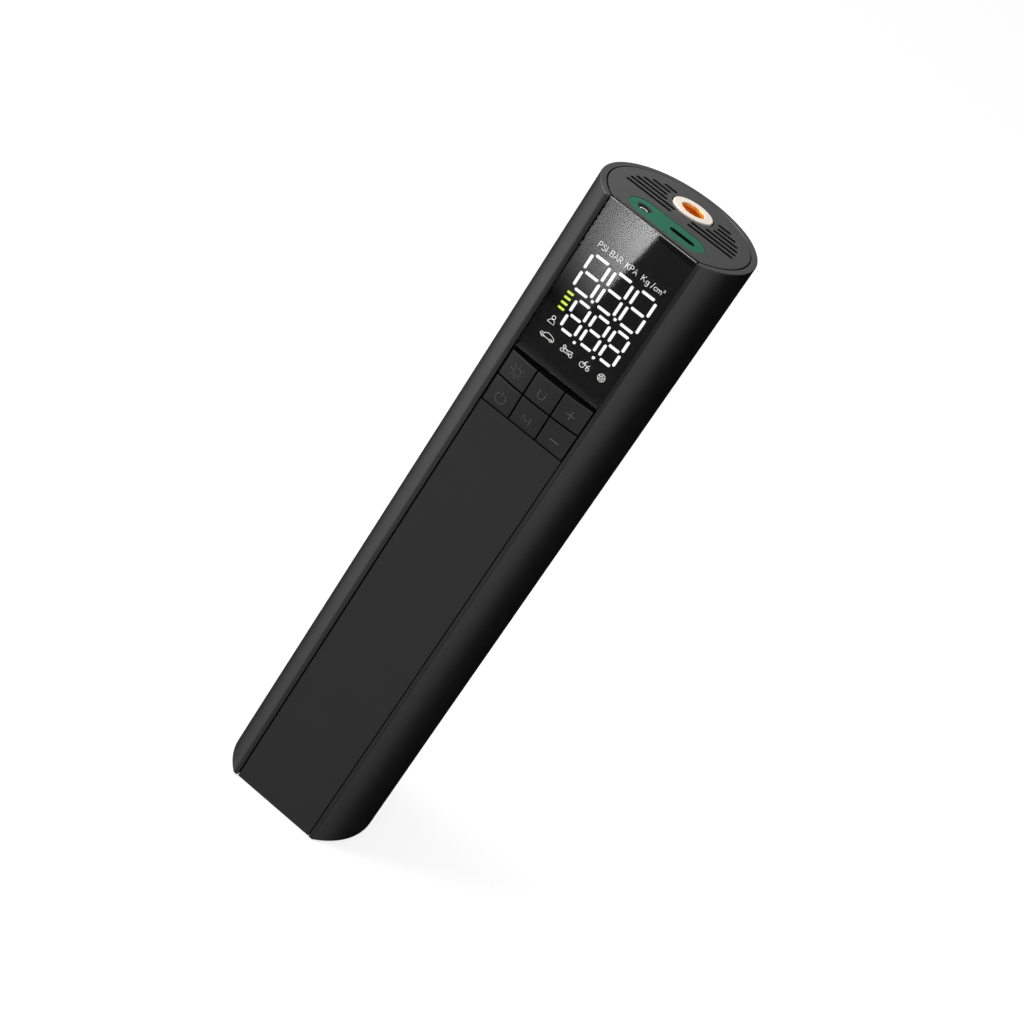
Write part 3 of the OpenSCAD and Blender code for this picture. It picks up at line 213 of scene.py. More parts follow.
front_wall = facing((0.5, -0.866, 0), dark=0.05, full=0.6, most=0.42)
left_wall = facing((-0.94, -0.34, 0), dark=0.25, full=0.85, most=1.0)
right_wall = facing((0.9, -0.44, 0), dark=0.6, full=0.95, most=0.75)
ceiling = facing((-0.2, 0, 1), dark=0.1, full=0.55, most=0.8)
low_shade = facing((0, 0, 1), dark=-0.62, full=-0.38, most=1.0, least=0.55)
walls = (front_wall + left_wall + right_wall) * low_shade + ceiling
reflected = walls.maths("MINIMUM", walls, WHITE)
glossy = ray("Is Glossy Ray")
seen = (ray("Is Camera Ray") + ray("Is Transmission Ray") + glossy) > 0.5
shown = glossy.mix(grey(WHITE), reflected)
background = world.node_tree.nodes["Background"]
feed(world.node_tree, background.inputs["Color"], grey(WHITE))
feed(world.node_tree, background.inputs["Strength"], seen * shown + (1 - seen) * ROOM_LIGHT)
world.cycles.sampling_method = "NONE"
print("room light", ROOM_LIGHT)

# %% Make the floor
FLOOR_SIZE = 30
FLOOR_DROP = 0.2 * MM
FLOOR_GLOW = 0.7
PAPER_WHITE = 0.82

bpy.ops.mesh.primitive_plane_add(size=FLOOR_SIZE, location=(0, 0, -FLOOR_DROP))
floor = bpy.context.object
floor.name = "floor"
floor.visible_glossy = False
paper = bpy.data.materials.new("white paper")
paper.use_nodes = True
paper_shader = paper.node_tree.nodes["Principled BSDF"]
by_camera = Wire(paper.node_tree, None).node("ShaderNodeLightPath", {}, {})
paper_shader.inputs["Base Color"].default_value = grey(PAPER_WHITE)
paper_shader.inputs["Roughness"].default_value = 0.9
paper_shader.inputs["Specular IOR Level"].default_value = 0
paper_shader.inputs["Emission Strength"].default_value = FLOOR_GLOW
feed(paper.node_tree, paper_shader.inputs["Emission Color"], by_camera.mix(grey(0), grey(1)))
floor.data.materials.append(paper)
print("floor", FLOOR_SIZE, "m wide")

# %% [markdown]
# ## Lamps
#
# The lamps are soft boxes, which give broad gradients along the body's curves. A large one stands to the left, a
# small weak one hangs close over the cap, and another weak one stands to the right of the camera.


# %% Make the soft boxes
def soft_box(name, place, target, size, power):
    bpy.ops.object.light_add(type="AREA")
    lamp = bpy.context.object
    lamp.name = name
    lamp.data.shape = "RECTANGLE"
    lamp.data.size, lamp.data.size_y = size
    lamp.data.energy = power
    turn = (Vector(target) - Vector(place)).to_track_quat("-Z", "Y").to_matrix().to_4x4()
    lamp.matrix_world = Matrix.Translation(Vector(place)) @ turn
    lamp.visible_camera = False
    print(f"{name}: {power} W, {size[0]} x {size[1]} m")


soft_box("left box", (-1.1, -0.7, 0.7), (0, 0, 0.12), (0.6, 1.0), 8)
soft_box("top box", (-0.09, 0.0, 0.318), (0, 0.01, 0.234), (0.08, 0.1), 0.15)
soft_box("right box", (1.0, -1.2, 0.8), (0, 0, 0.12), (0.5, 0.8), 2)

# %% [markdown]
# ## Finishes
#
# Every finish starts from Blender's Principled shader. A moulded plastic has a fine spark-eroded grain, which is a
# noise of about a tenth of a millimetre that bumps the surface, and larger, fainter clouds that change its colour
# and gloss a little. A metal part gets the marks of the tool that made it, as a noise stretched along the tool's
# path. Patterns read Object coordinates, which are metres in the pump's own frame, so they stay put when a part
# moves.


# %% Helpers for finishes
def surface(name, roughness, **fixed):
    """A new material, its shader, and the wire of its Object coordinates."""
    material = bpy.data.materials.new(name)
    material.use_nodes = True
    shader = material.node_tree.nodes["Principled BSDF"]
    shader.inputs["Roughness"].default_value = roughness
    for socket, value in fixed.items():
        shader.inputs[socket.replace("_", " ")].default_value = value
    place = Wire(material.node_tree, None).node("ShaderNodeTexCoord", {}, {}, output=3)
    return material, shader, place


def noise(place, size_mm, detail=2.0, stretch=(1, 1, 1)):
    """Clouds of about the given size; stretch is how many times longer they are along X, Y and Z."""
    squeezed = place.node("ShaderNodeMapping", {}, {0: place, 3: [1 / s for s in stretch]})
    return place.node("ShaderNodeTexNoise", {}, {"Vector": squeezed, "Scale": 1 / (size_mm * MM), "Detail": detail})


def bump(shader, height, depth_mm):
    """Raises the surface by a height from 0 to 1, times a depth."""
    made = height.node("ShaderNodeBump", {}, {"Distance": depth_mm * MM, "Height": height})
    feed(height.tree, shader.inputs["Normal"], made)


def plastic(name, dark, light, roughness, grain_mm=0.12, grain_depth=0.004, spread=0.05, **fixed):
    """Moulded plastic between two near colours."""
    material, shader, place = surface(name, roughness, **fixed)
    clouds = noise(place, 9, 3)
    feed(place.tree, shader.inputs["Base Color"], clouds.mix(colour(*dark), colour(*light)))
    feed(place.tree, shader.inputs["Roughness"], noise(place, 4, 3) * (2 * spread) + (roughness - spread))
    bump(shader, noise(place, grain_mm, 1), grain_depth)
    return material


def metal(name, dark, light, roughness, stretch=(1, 1, 1), mark_mm=0.3, mark_depth=0.003, spread=0.06, **fixed):
    """Bare metal with tool marks."""
    material, shader, place = surface(name, roughness, **{"Metallic": 1.0, **fixed})
    marks = noise(place, mark_mm, 2, stretch)
    clouds = noise(place, 5, 3)
    feed(place.tree, shader.inputs["Base Color"], clouds.mix(colour(*dark), colour(*light)))
    feed(place.tree, shader.inputs["Roughness"], marks * (2 * spread) + (roughness - spread))
    bump(shader, marks, mark_depth)
    return material


# %% [markdown]
# ## The outer plastics
#
# The body is extruded and painted with a fine satin soft-touch lacquer, so it has the least grain. The lower panel
# is a little duller and darker than the body. The keys have a soft rubbery coat, and the cap is a mid-grey plastic
# with a coarser grain. The port plate is dark green and the collar is cream.

# %% Mix the outer plastics
finishes = {
    "shell": plastic("satin black lacquer", (0.003, 0.003, 0.0032), (0.0045, 0.0045, 0.0048), 0.34, 0.1, 0.002,
                     Specular_IOR_Level=0.6),
    "panel": plastic("matt black panel", (0.008, 0.008, 0.0085), (0.011, 0.011, 0.0115), 0.5, 0.12, 0.004),
    "keys": plastic("soft black keys", (0.009, 0.009, 0.0095), (0.012, 0.012, 0.0125), 0.55, 0.15, 0.004),
    "black_frame": plastic("black frame plastic", (0.006, 0.006, 0.006), (0.01, 0.01, 0.01), 0.5),
    "collar": plastic("cream collar", (0.82, 0.74, 0.64), (0.87, 0.79, 0.69), 0.4, 0.2, 0.003),
    "holders": plastic("cell holder plastic", (0.5, 0.45, 0.33), (0.6, 0.54, 0.4), 0.55),
    "nylon": plastic("milky nylon", (0.7, 0.68, 0.62), (0.8, 0.78, 0.72), 0.42),
    "magnet": plastic("black ferrite", (0.02, 0.02, 0.022), (0.045, 0.045, 0.048), 0.6, 0.3, 0.01),
    "soft": plastic("black silicone", (0.01, 0.01, 0.01), (0.018, 0.018, 0.018), 0.35, 0.5, 0.002),
    "flap": plastic("red silicone flap", (0.35, 0.07, 0.03), (0.45, 0.1, 0.04), 0.4, 0.5, 0.002),
}
print(len(finishes), "plastics")

# %% [markdown]
# ## The metals
#
# The pump's frame and head are die-cast aluminium, which is dull and cloudy. Shafts and pins are ground steel,
# turned about X, so their marks run round them: the noise is long in Y and Z and short along X. The outlet's insert
# and the crank's bush are orange brass with a coat, so they are only partly a metal. The copper of the windings
# gets its own fine threads.

# %% Mix the metals
finishes.update({
    "cast": metal("die-cast aluminium", (0.42, 0.43, 0.45), (0.58, 0.59, 0.61), 0.48, mark_mm=0.6, mark_depth=0.015),
    "can": metal("plated motor can", (0.55, 0.55, 0.56), (0.66, 0.66, 0.66), 0.3, (0.3, 6, 6), 0.5),
    "steel": metal("ground steel", (0.6, 0.6, 0.62), (0.72, 0.72, 0.74), 0.22, (0.3, 8, 8), 0.3),
    "screws": metal("nickel-plated screws", (0.55, 0.54, 0.52), (0.68, 0.67, 0.64), 0.28),
    "tin": metal("tinned steel", (0.52, 0.53, 0.55), (0.66, 0.66, 0.68), 0.3),
    "brass": metal("orange insert", (0.8, 0.26, 0.03), (0.92, 0.38, 0.06), 0.3, (8, 8, 0.3), 0.4, Metallic=0.4),
    "copper": metal("copper wire", (0.62, 0.22, 0.08), (0.8, 0.33, 0.14), 0.3, (12, 1, 1), 0.25, 0.05),
})
print(len(finishes), "finishes so far")

# %% [markdown]
# ## Finishes that follow the shape
#
# Some parts carry two looks on one solid. A cell is wrapped in a coloured sleeve and bare at its ends, a circuit
# board is green with tinned pads, and the display's light block is painted black on its face and in its wells and
# is white behind them. The cap is grey on its face and black below it, a painted shade that makes its slots look
# deep, and the port plate is black below its face too, as painted shade in its openings. Each of these reads the
# height or depth of the point from its Object coordinates, so the border lies where the real one is. Each is one
# shader, with one colour chosen by a mask.


# %% Mix the finishes with two looks
def part_of(place, axis):
    split = place.node("ShaderNodeSeparateXYZ", {}, {0: place})
    return Wire(place.tree, split.socket.node.outputs[axis])


def two_looks(name, roughness, mask_of, first, second, metallic=0.0, specular=0.5):
    """One shader whose colour is the second where the mask is 1; the second may be a metal."""
    material, shader, place = surface(name, roughness, Specular_IOR_Level=specular)
    mask = mask_of(place)
    shade = noise(place, 3, 3) * 0.25 + 0.85
    picked = mask.mix(colour(*first), colour(*second))
    shaded = place.node("ShaderNodeVectorMath", {"operation": "SCALE"}, {0: picked, "Scale": shade})
    feed(place.tree, shader.inputs["Base Color"], shaded)
    feed(place.tree, shader.inputs["Metallic"], mask * metallic)
    bump(shader, noise(place, 0.3, 2), 0.003)
    return material


cells_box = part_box("battery_cells")
SLEEVE_FOOT = 0.7 * MM
SLEEVE_TOP = 2.2 * MM
PAINTED_SHADE_DEPTH = 0.05
WELL_START = 2.55
PADS_PER_M = 420
PAD_SPREAD = 0.15
PAD_REACH = 0.22
PADS_THINNED = 0.52
TRACK_PITCH = 1 * MM
TRACK_SHARE = 0.55


def beyond_sleeve(place):
    height = part_of(place, "Z")
    return (height > cells_box[1].z - SLEEVE_TOP) + (height < cells_box[0].z + SLEEVE_FOOT)


def pads(place):
    """Rows of round tinned pads: the cells of a regular grid, thinned out by a slow noise."""
    dots = place.node("ShaderNodeTexVoronoi", {"feature": "F1"},
                      {"Vector": place, "Scale": PADS_PER_M, "Randomness": PAD_SPREAD})
    return (dots < PAD_REACH) * (noise(place, 6, 1) > PADS_THINNED)


# Below the face, the cap and the port plate turn black: painted shade in their slots and openings.
def above_painted_shade(face_z):
    return lambda place: part_of(place, "Z") > (face_z - PAINTED_SHADE_DEPTH) * MM


def behind_wells(place):
    return part_of(place, "Y") > (block_y + WELL_START) * MM


def copper_tracks(place):
    return (part_of(place, "X") * (1 / TRACK_PITCH)).fraction() > TRACK_SHARE


# The first colour of the cap and of the plate, near black, is the painted shade below their faces.
finishes.update({
    "cap": two_looks("grey cap with painted slot shade", 0.55, above_painted_shade(cap_z), (0.004, 0.004, 0.004), (0.062, 0.062, 0.063),
                     specular=0.1),
    "plate": two_looks("green port plate", 0.5, above_painted_shade(plate_z), (0.004, 0.006, 0.005), (0.018, 0.132, 0.076),
                       specular=0.08),
    "cells": two_looks("sleeved cell", 0.35, beyond_sleeve, (0.02, 0.2, 0.3), (0.62, 0.62, 0.64), metallic=1.0),
    "board": two_looks("green circuit board", 0.35, pads, (0.01, 0.085, 0.035), (0.7, 0.68, 0.62), metallic=0.9),
    "light_block": two_looks("masked light block", 0.7, behind_wells, (0.004, 0.004, 0.004), (0.3, 0.3, 0.29)),
    "ribbon": two_looks("flat cable", 0.4, copper_tracks, (0.45, 0.22, 0.05), (0.75, 0.45, 0.2)),
})
print(len(finishes), "finishes so far")

# %% [markdown]
# ## The smoked lens
#
# The lens is a dark clear plate. Light passes through both of its faces, so half of the darkness sits on each: an
# alpha of 0.3 lets 0.7 through twice, which is 0.49. What lies behind it is black until it is lit, and the lit
# strokes come through. Its face is polished and mirrors what stands in front of it, more strongly than a plastic
# does, so its specular level is high. The lamp's dome is the same kind of shader with more smoke, since the lamp's
# own light is off.

# %% Mix the lens and the lamp
LENS_ALPHA = 0.3
LAMP_ALPHA = 0.8
POLISH = 0.05


def smoked(name, tint, alpha, roughness, specular):
    material, shader, place = surface(name, roughness, Specular_IOR_Level=specular)
    clouds = noise(place, 12, 2)
    feed(place.tree, shader.inputs["Base Color"], clouds.mix(grey(tint), grey(tint * 1.3)))
    feed(place.tree, shader.inputs["Roughness"], noise(place, 2, 2) * 0.02 + roughness)
    shader.inputs["Alpha"].default_value = alpha
    return material


finishes["lens"] = smoked("smoked lens", 0.004, LENS_ALPHA, POLISH, 1.0)
finishes["lamp"] = smoked("dark clear lamp", 0.02, LAMP_ALPHA, POLISH, 0.3)
missing = sorted(set(slot_of.values()) - set(finishes))
print("slots without a finish:", missing)

# %% Give every CAD part its finish
for node, part in nodes.items():
    part.data.materials.clear()
    part.data.materials.append(finishes[slot_of[node]])
print("finished", len(nodes), "CAD parts")

# %% [markdown]
# ## Tools for modelling
#
# Edges and faces are found in code by where they are and which way they look. `pick` selects in edit mode by a
# test, and `open_whole` opens a piece with all of it selected. `softened` makes a finished copy of a CAD part with
# rounded edges, and `dress` hangs a piece from the empty of the body it rides on and hides the CAD part it stands
# in for.


# %% Helpers for modelling
WELD = 1e-6
SHARP_ANGLE = 30
SMOOTH_ANGLE = 35
FLAT_ANGLE = 0.2


def deselect_all():
    bpy.ops.object.select_all(action="DESELECT")


def make_active(piece):
    deselect_all()
    piece.select_set(True)
    bpy.context.view_layer.objects.active = piece


def open_for_edit(piece, kind):
    make_active(piece)
    bpy.ops.object.mode_set(mode="EDIT")
    bpy.ops.mesh.select_mode(type=kind)
    bpy.ops.mesh.select_all(action="DESELECT")


def open_whole(piece):
    """Opens a piece for editing with all of it selected."""
    open_for_edit(piece, "VERT")
    bpy.ops.mesh.select_all(action="SELECT")


def pick(piece, kind, test):
    """Selects the verts, edges or faces that pass a test, and counts them."""
    mesh = bmesh.from_edit_mesh(piece.data)
    found = [item for item in getattr(mesh, kind) if test(item)]
    for item in found:
        item.select_set(True)
    mesh.select_flush_mode()
    bmesh.update_edit_mesh(piece.data)
    return len(found)


def close_edit():
    bpy.ops.object.mode_set(mode="OBJECT")


def apply_place(piece):
    make_active(piece)
    bpy.ops.object.transform_apply(location=True, rotation=True, scale=True)
    return piece


def dress(piece, body, slot, replaced=None, finish=None):
    """Gives a piece its finish, hangs it from the empty of the body it rides on, and hides the CAD part it stands
    for.
    """
    apply_place(piece)
    piece.data.materials.clear()
    piece.data.materials.append(finish or finishes[slot])
    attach(piece, body)
    if replaced:
        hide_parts(replaced)


def sharp(edge):
    return len(edge.link_faces) == 2 and edge.calc_face_angle(0) > math.radians(SHARP_ANGLE)


def middle(edge):
    return (edge.verts[0].co + edge.verts[1].co) / 2


def clean_copy(node, name):
    """A copy of a CAD part whose triangles are merged into its real faces."""
    mesh = nodes[node].data.copy()
    piece = bpy.data.objects.new(name, mesh)
    bpy.context.scene.collection.objects.link(piece)
    make_active(piece)
    if mesh.has_custom_normals:
        bpy.ops.mesh.customdata_custom_splitnormals_clear()
    open_whole(piece)
    bpy.ops.mesh.remove_doubles(threshold=WELD)
    bpy.ops.mesh.dissolve_limited(angle_limit=math.radians(FLAT_ANGLE))
    close_edit()
    return piece


def smooth(piece, angle):
    make_active(piece)
    bpy.ops.object.shade_smooth_by_angle(angle=math.radians(angle))


def apply_modifier(piece, name):
    make_active(piece)
    bpy.ops.object.modifier_apply(modifier=name)


def smooth_faces(piece):
    """Smooth shading that keeps the large faces flat: their normals outweigh those of the narrow rounds."""
    smooth(piece, SMOOTH_ANGLE)
    weigh = piece.modifiers.new("weigh", "WEIGHTED_NORMAL")
    weigh.keep_sharp = True
    apply_modifier(piece, "weigh")


def rounded(piece, node, width_mm, where=lambda spot: True, segments=3):
    """Rounds the sharp edges of a copy, where the test allows, and dresses it as its CAD part."""
    open_for_edit(piece, "EDGE")
    count = pick(piece, "edges", lambda edge: sharp(edge) and where(middle(edge) / MM))
    bpy.ops.mesh.bevel(offset=width_mm * MM, segments=segments, affect="EDGES", clamp_overlap=True)
    close_edit()
    smooth_faces(piece)
    dress(piece, body_of[node], slot_of[node], node)
    print(f"{piece.name}: {count} edges rounded by {width_mm} mm, {len(piece.data.polygons)} faces")
    return piece


def softened(node, name, width_mm, where=lambda spot: True, segments=3):
    """A finished copy of a CAD part whose sharp edges are rounded."""
    return rounded(clean_copy(node, name), node, width_mm, where, segments)


# %% [markdown]
# ## The body shell
#
# The body of the real pump is an aluminium or plastic extrusion, cut to length, so both of its ends are flat. Its
# edges are tumbled: the rim catches a thin line of light all the way round. A round of 0.35 mm does it.

# %% Round the ends of the shell
softened("body_shell", "shell", 0.35, lambda spot: spot.z > rim_z - 0.1 or spot.z < 0.1)

# %% [markdown]
# ## The front strip: lower panel, keys and lens
#
# The strip is made of three layers between the two lips. Every one of them has its own small round, and the seams
# between them show as dark lines. The keys are moulded with a draft: each front is drawn in by a tenth of a
# millimetre on every side, so a dark line runs between neighbours. The upper row's top edge is lowered as well,
# which leaves a gap under the lens. Each front gets a soft round, and the keys' sides get a near-black colour of
# their own, a painted shade that keeps the gaps dark.

# %% Round the panel and the lens
softened("lower_panel", "panel", 0.12, lambda spot: spot.y < strip_y + 1)
lens = softened("display_lens", "lens", 0.18, lambda spot: spot.y < strip_y + 0.1 or spot.z > rim_z - 0.1)

# %% Round the keys
KEY_NAMES = ("lamp", "unit", "plus", "power", "mode", "minus")
KEY_DRAFT = 0.1
KEY_ROUND = 0.28
KEY_FRONT = 0.35
TOP_GAP = 0.45
TOP_ZONE = 0.5
SIDEWAYS = 0.3
keys = {}
# The keys' sides are near-black and dull: a painted shade for the gaps between the keys.
painted_gap_shade = plastic("painted shade on key sides", (0.0015, 0.0015, 0.0015), (0.0025, 0.0025, 0.0025), 0.8,
               Specular_IOR_Level=0.05)
front = strip_y + KEY_FRONT
for key in KEY_NAMES:
    low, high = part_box(f"{key}_key")
    size = (high - low) / MM
    drawn_in = (1 - 2 * KEY_DRAFT / size.x, 1, 1 - 2 * KEY_DRAFT / size.z)
    piece = clean_copy(f"{key}_key", f"key_{key}")
    open_for_edit(piece, "VERT")
    pick(piece, "verts", lambda vert: vert.co.y / MM < front)
    bpy.ops.transform.resize(value=drawn_in, center_override=(low + high) / 2)
    if high.z / MM > keys_top - 0.1:
        bpy.ops.mesh.select_all(action="DESELECT")
        pick(piece, "verts", lambda vert: vert.co.y / MM < front and vert.co.z > high.z - TOP_ZONE * MM)
        bpy.ops.transform.translate(value=(0, 0, -TOP_GAP * MM))
    close_edit()
    keys[key] = rounded(piece, f"{key}_key", KEY_ROUND, lambda spot: spot.y < front)
    # Faces that look sideways get the painted shade.
    piece.data.materials.append(painted_gap_shade)
    for face in piece.data.polygons:
        if abs(face.normal.y) < SIDEWAYS:
            face.material_index = 1

# %% [markdown]
# ## The digits
#
# The display shows every stroke at once, as it does for a moment when the pump is switched on. One stroke is a flat
# bar with round corners: a cube at the stroke's size, whose corners along Y are bevelled. Seven such bars make a
# digit, three lying and four standing, and the digit is copied along its row. The strokes lie just inside the wells
# of the light block.


# %% Mix the lights
def light(name, tint, strength, unevenness=0.12):
    """A glowing surface with a slight unevenness, as a diode behind a diffuser has."""
    material, shader, place = surface(name, 0.6)
    glow = noise(place, 2.5, 2) * (2 * unevenness) + (1 - unevenness)
    feed(place.tree, shader.inputs["Base Color"], glow.mix(grey(0.3), grey(0.5)))
    feed(place.tree, shader.inputs["Emission Color"], glow.mix(grey(0), colour(*tint)))
    shader.inputs["Emission Strength"].default_value = strength
    return material


white_light = light("white strokes", (1, 1, 1), 1.9)
lime_light = light("lime bars", (0.66, 0.92, 0.03), 2.0)
sign_light = light("white signs", (1, 1, 1), 0.95)
print("three lights")

# %% Helpers for strokes and copies
GLOW_DEPTH = 0.4
GLOW_SINK = 0.25
GLOW_Y = block_y + GLOW_SINK


def bar(name, size, place, corner):
    """A flat bar at (x, z) in the plane of the strokes, with its four corners rounded."""
    deselect_all()
    bpy.ops.mesh.primitive_cube_add(size=1, location=(place[0] * MM, GLOW_Y * MM, place[1] * MM),
                                    scale=(size[0] * MM, GLOW_DEPTH * MM, size[1] * MM))
    piece = apply_place(bpy.context.object)
    piece.name = name
    open_for_edit(piece, "EDGE")
    pick(piece, "edges", lambda edge: abs((edge.verts[0].co - edge.verts[1].co).y) > 0.3 * GLOW_DEPTH * MM)
    bpy.ops.mesh.bevel(offset=corner * MM, segments=3, affect="EDGES")
    close_edit()
    return piece


def joined(parts, name):
    deselect_all()
    for part in parts:
        part.select_set(True)
    bpy.context.view_layer.objects.active = parts[0]
    if len(parts) > 1:
        bpy.ops.object.join()
    piece = bpy.context.object
    piece.name = name
    return piece


def copied(piece, name, shift):
    """A copy with its own mesh, moved by (x, z) millimetres."""
    make_active(piece)
    bpy.ops.object.duplicate()
    copy = bpy.context.object
    copy.name = name
    open_whole(copy)
    bpy.ops.transform.translate(value=(shift[0] * MM, 0, shift[1] * MM))
    close_edit()
    return copy


# %% Model the digits
STROKE = 0.86
STROKE_CORNER = 0.33


def digit(name, width, height, place, lying_l, standing_l):
    """Seven strokes about a centre: three lying ones, and four standing ones between them."""
    x, z = place
    half = (height - 1) / 2
    side = (width - 1) / 2
    lying = [bar(name, (lying_l, STROKE), (x, z + k * half), STROKE_CORNER) for k in (-1, 0, 1)]
    standing = [bar(name, (STROKE, standing_l), (x + s * side, z + k * half), STROKE_CORNER)
                for s in (-1, 1) for k in (-0.5, 0.5)]
    return joined(lying + standing, name)


BIG = {"size": (7.2, 12.7), "strokes": (4.3, 4.5), "first": (-7.61, rim_z - 22.71), "pitch": 8.2}
SMALL = {"size": (6.0, 11.1), "strokes": (3.5, 3.65), "first": (-4.91, rim_z - 35.66), "pitch": 7.0}
for row, place in (("big", BIG), ("small", SMALL)):
    first = digit(f"digit_{row}_0", *place["size"], place["first"], *place["strokes"])
    for each in [first] + [copied(first, f"digit_{row}_{i}", (i * place["pitch"], 0)) for i in (1, 2)]:
        dress(each, "housing", "light_block", finish=white_light)
print("six digits")

# %% [markdown]
# ## Dots and battery bars
#
# The decimal points are small squares and the battery's charge is a stack of four bars. They are made as the
# strokes are, in their own sizes. The bars are lime green.

# %% Model the dots and the bars
DOT = 0.85
DOT_CORNER = 0.3
BAR_SIZE = (2.1, 0.66)
BAR_CORNER = 0.2
BAR_PITCH = 1.77
BAR_X, BAR_Z = -10.06, rim_z - 35.91
for row, place, drop in (("big", BIG, 5.85), ("small", SMALL, 6.05)):
    for i in (0, 1):
        spot = (place["first"][0] + (i + 0.5) * place["pitch"], place["first"][1] - drop)
        dress(bar(f"dot_{row}_{i}", (DOT, DOT), spot, DOT_CORNER), "housing", "light_block", finish=white_light)
for i in range(4):
    charge = bar(f"charge_bar_{i}", BAR_SIZE, (BAR_X, BAR_Z + i * BAR_PITCH), BAR_CORNER)
    dress(charge, "housing", "light_block", finish=lime_light)
print("dots and bars")

# %% [markdown]
# ## Signs drawn with lines
#
# The car, the motorcycle, the bicycle, the ball and the rider are line drawings. They and the unit names are
# printed on the lens's front in a white that glows a little, so that they stay sharp over what the lens mirrors.
# Each line starts as one vertex that is extruded from point to point, and each wheel as a circle of edges. The
# edges become a curve, the curve gets its thickness, and the result is made a mesh again and pressed flat. The
# signs on the keys are made the same way.


# %% Helpers for line drawings
SIGN_LIFT = 0.006
SIGN_DEPTH = 0.02
SIGN_Y = lens_front_y - SIGN_LIFT
CIRCLE_STEPS = 24


def path(points):
    """Edges from point to point, in millimetres in the XZ plane."""
    deselect_all()
    bpy.ops.mesh.primitive_plane_add(size=MM, location=(points[0][0] * MM, 0, points[0][1] * MM))
    piece = apply_place(bpy.context.object)
    open_whole(piece)
    bpy.ops.mesh.merge(type="CENTER")
    for start, end in zip(points, points[1:]):
        step = ((end[0] - start[0]) * MM, 0, (end[1] - start[1]) * MM)
        bpy.ops.mesh.extrude_vertices_move(TRANSFORM_OT_translate={"value": step})
    close_edit()
    return piece


def ring(x, z, radius):
    deselect_all()
    bpy.ops.mesh.primitive_circle_add(vertices=CIRCLE_STEPS, radius=radius * MM, location=(x * MM, 0, z * MM),
                                      rotation=(math.pi / 2, 0, 0))
    return apply_place(bpy.context.object)


def arc(x, z, radius, start, end, steps=8):
    """Points round a centre, from one angle to another, in degrees from +X towards +Z."""
    turns = [math.radians(start + (end - start) * i / steps) for i in range(steps + 1)]
    return [(x + radius * math.cos(t), z + radius * math.sin(t)) for t in turns]


def drawing(name, lines, rings, width, y, depth):
    """Lines and rings of one width, pressed flat at y."""
    parts = [path(points) for points in lines] + [ring(*each) for each in rings]
    piece = joined(parts, name)
    bpy.ops.object.convert(target="CURVE")
    piece = bpy.context.object
    piece.data.bevel_depth = width * MM / 2
    piece.data.bevel_resolution = 1
    piece.data.use_fill_caps = True
    bpy.ops.object.convert(target="MESH")
    piece = bpy.context.object
    open_whole(piece)
    bpy.ops.transform.resize(value=(1, depth / width, 1), center_override=(0, 0, 0))
    bpy.ops.transform.translate(value=(0, y * MM, 0))
    close_edit()
    return piece


# %% Write the unit names over the digits
# A letter is its width and its lines, as shares of the height of a capital.
bow = [(0.32, 1)] + arc(0.32, 0.75, 0.25, 90, -90) + [(0, 0.5)]
LETTERS = {
    "P": (0.57, [[(0, 0), (0, 1)] + bow]),
    "R": (0.6, [[(0, 0), (0, 1)] + bow, [(0.3, 0.5), (0.6, 0)]]),
    "B": (0.6, [[(0, 0), (0, 1)] + bow, [(0.32, 0.5)] + arc(0.35, 0.25, 0.25, 90, -90) + [(0, 0)]]),
    "S": (0.58, [[(0.55, 0.85), (0.45, 0.97), (0.28, 1), (0.1, 0.93), (0.03, 0.77), (0.1, 0.6), (0.28, 0.53),
                  (0.48, 0.44), (0.57, 0.27), (0.48, 0.07), (0.28, 0), (0.1, 0.04), (0, 0.17)]]),
    "I": (0.02, [[(0.01, 0), (0.01, 1)]]),
    "A": (0.7, [[(0, 0), (0.35, 1), (0.7, 0)], [(0.13, 0.35), (0.57, 0.35)]]),
    "K": (0.6, [[(0, 0), (0, 1)], [(0.57, 1), (0, 0.4)], [(0.2, 0.62), (0.6, 0)]]),
    "g": (0.5, [arc(0.25, 0.3, 0.25, 0, 360, 12), [(0.5, 0.58), (0.5, -0.1)] + arc(0.26, -0.1, 0.24, 0, -150)]),
    "/": (0.35, [[(0, -0.1), (0.35, 1.05)]]),
    "c": (0.45, [arc(0.28, 0.3, 0.28, 45, 315, 10)]),
    "m": (0.84, [[(0, 0), (0, 0.6)], arc(0.21, 0.38, 0.21, 180, 0) + [(0.42, 0)],
                 arc(0.63, 0.38, 0.21, 180, 0) + [(0.84, 0)]]),
    "2": (0.26, [arc(0.13, 0.92, 0.12, 160, -30) + [(0, 0.66), (0.26, 0.66)]]),
}
UNITS = (("psi", "PSI", -10.5, -7.7), ("bar", "BAR", -6.3, -2.4), ("kpa", "KPA", -0.8, 3.1),
         ("kg", "Kg", 4.85, 7.35), ("per_area", "/cm2", 8.3, 12.55))
UNIT_HEIGHT = 1.8
UNIT_LINE = 0.13
LETTER_GAP = 0.22
unit_foot = rim_z - 13.85


def word(text, left, right):
    """The lines of a word that reaches from left to right, in millimetres."""
    width = sum(LETTERS[letter][0] for letter in text) + LETTER_GAP * (len(text) - 1)
    across = (right - left) / width
    lines = []
    for letter in text:
        wide, strokes = LETTERS[letter]
        lines += [[(left + x * across, unit_foot + z * UNIT_HEIGHT) for x, z in points] for points in strokes]
        left += (wide + LETTER_GAP) * across
    return lines


for name, text, left, right in UNITS:
    unit = drawing(f"unit_{name}", word(text, left, right), [], UNIT_LINE, SIGN_Y, SIGN_DEPTH)
    dress(unit, "housing", "light_block", finish=sign_light)
print(len(UNITS), "unit names")

# %% Draw the five signs under the digits
SIGN_LINE = 0.14
foot = rim_z - 45.1


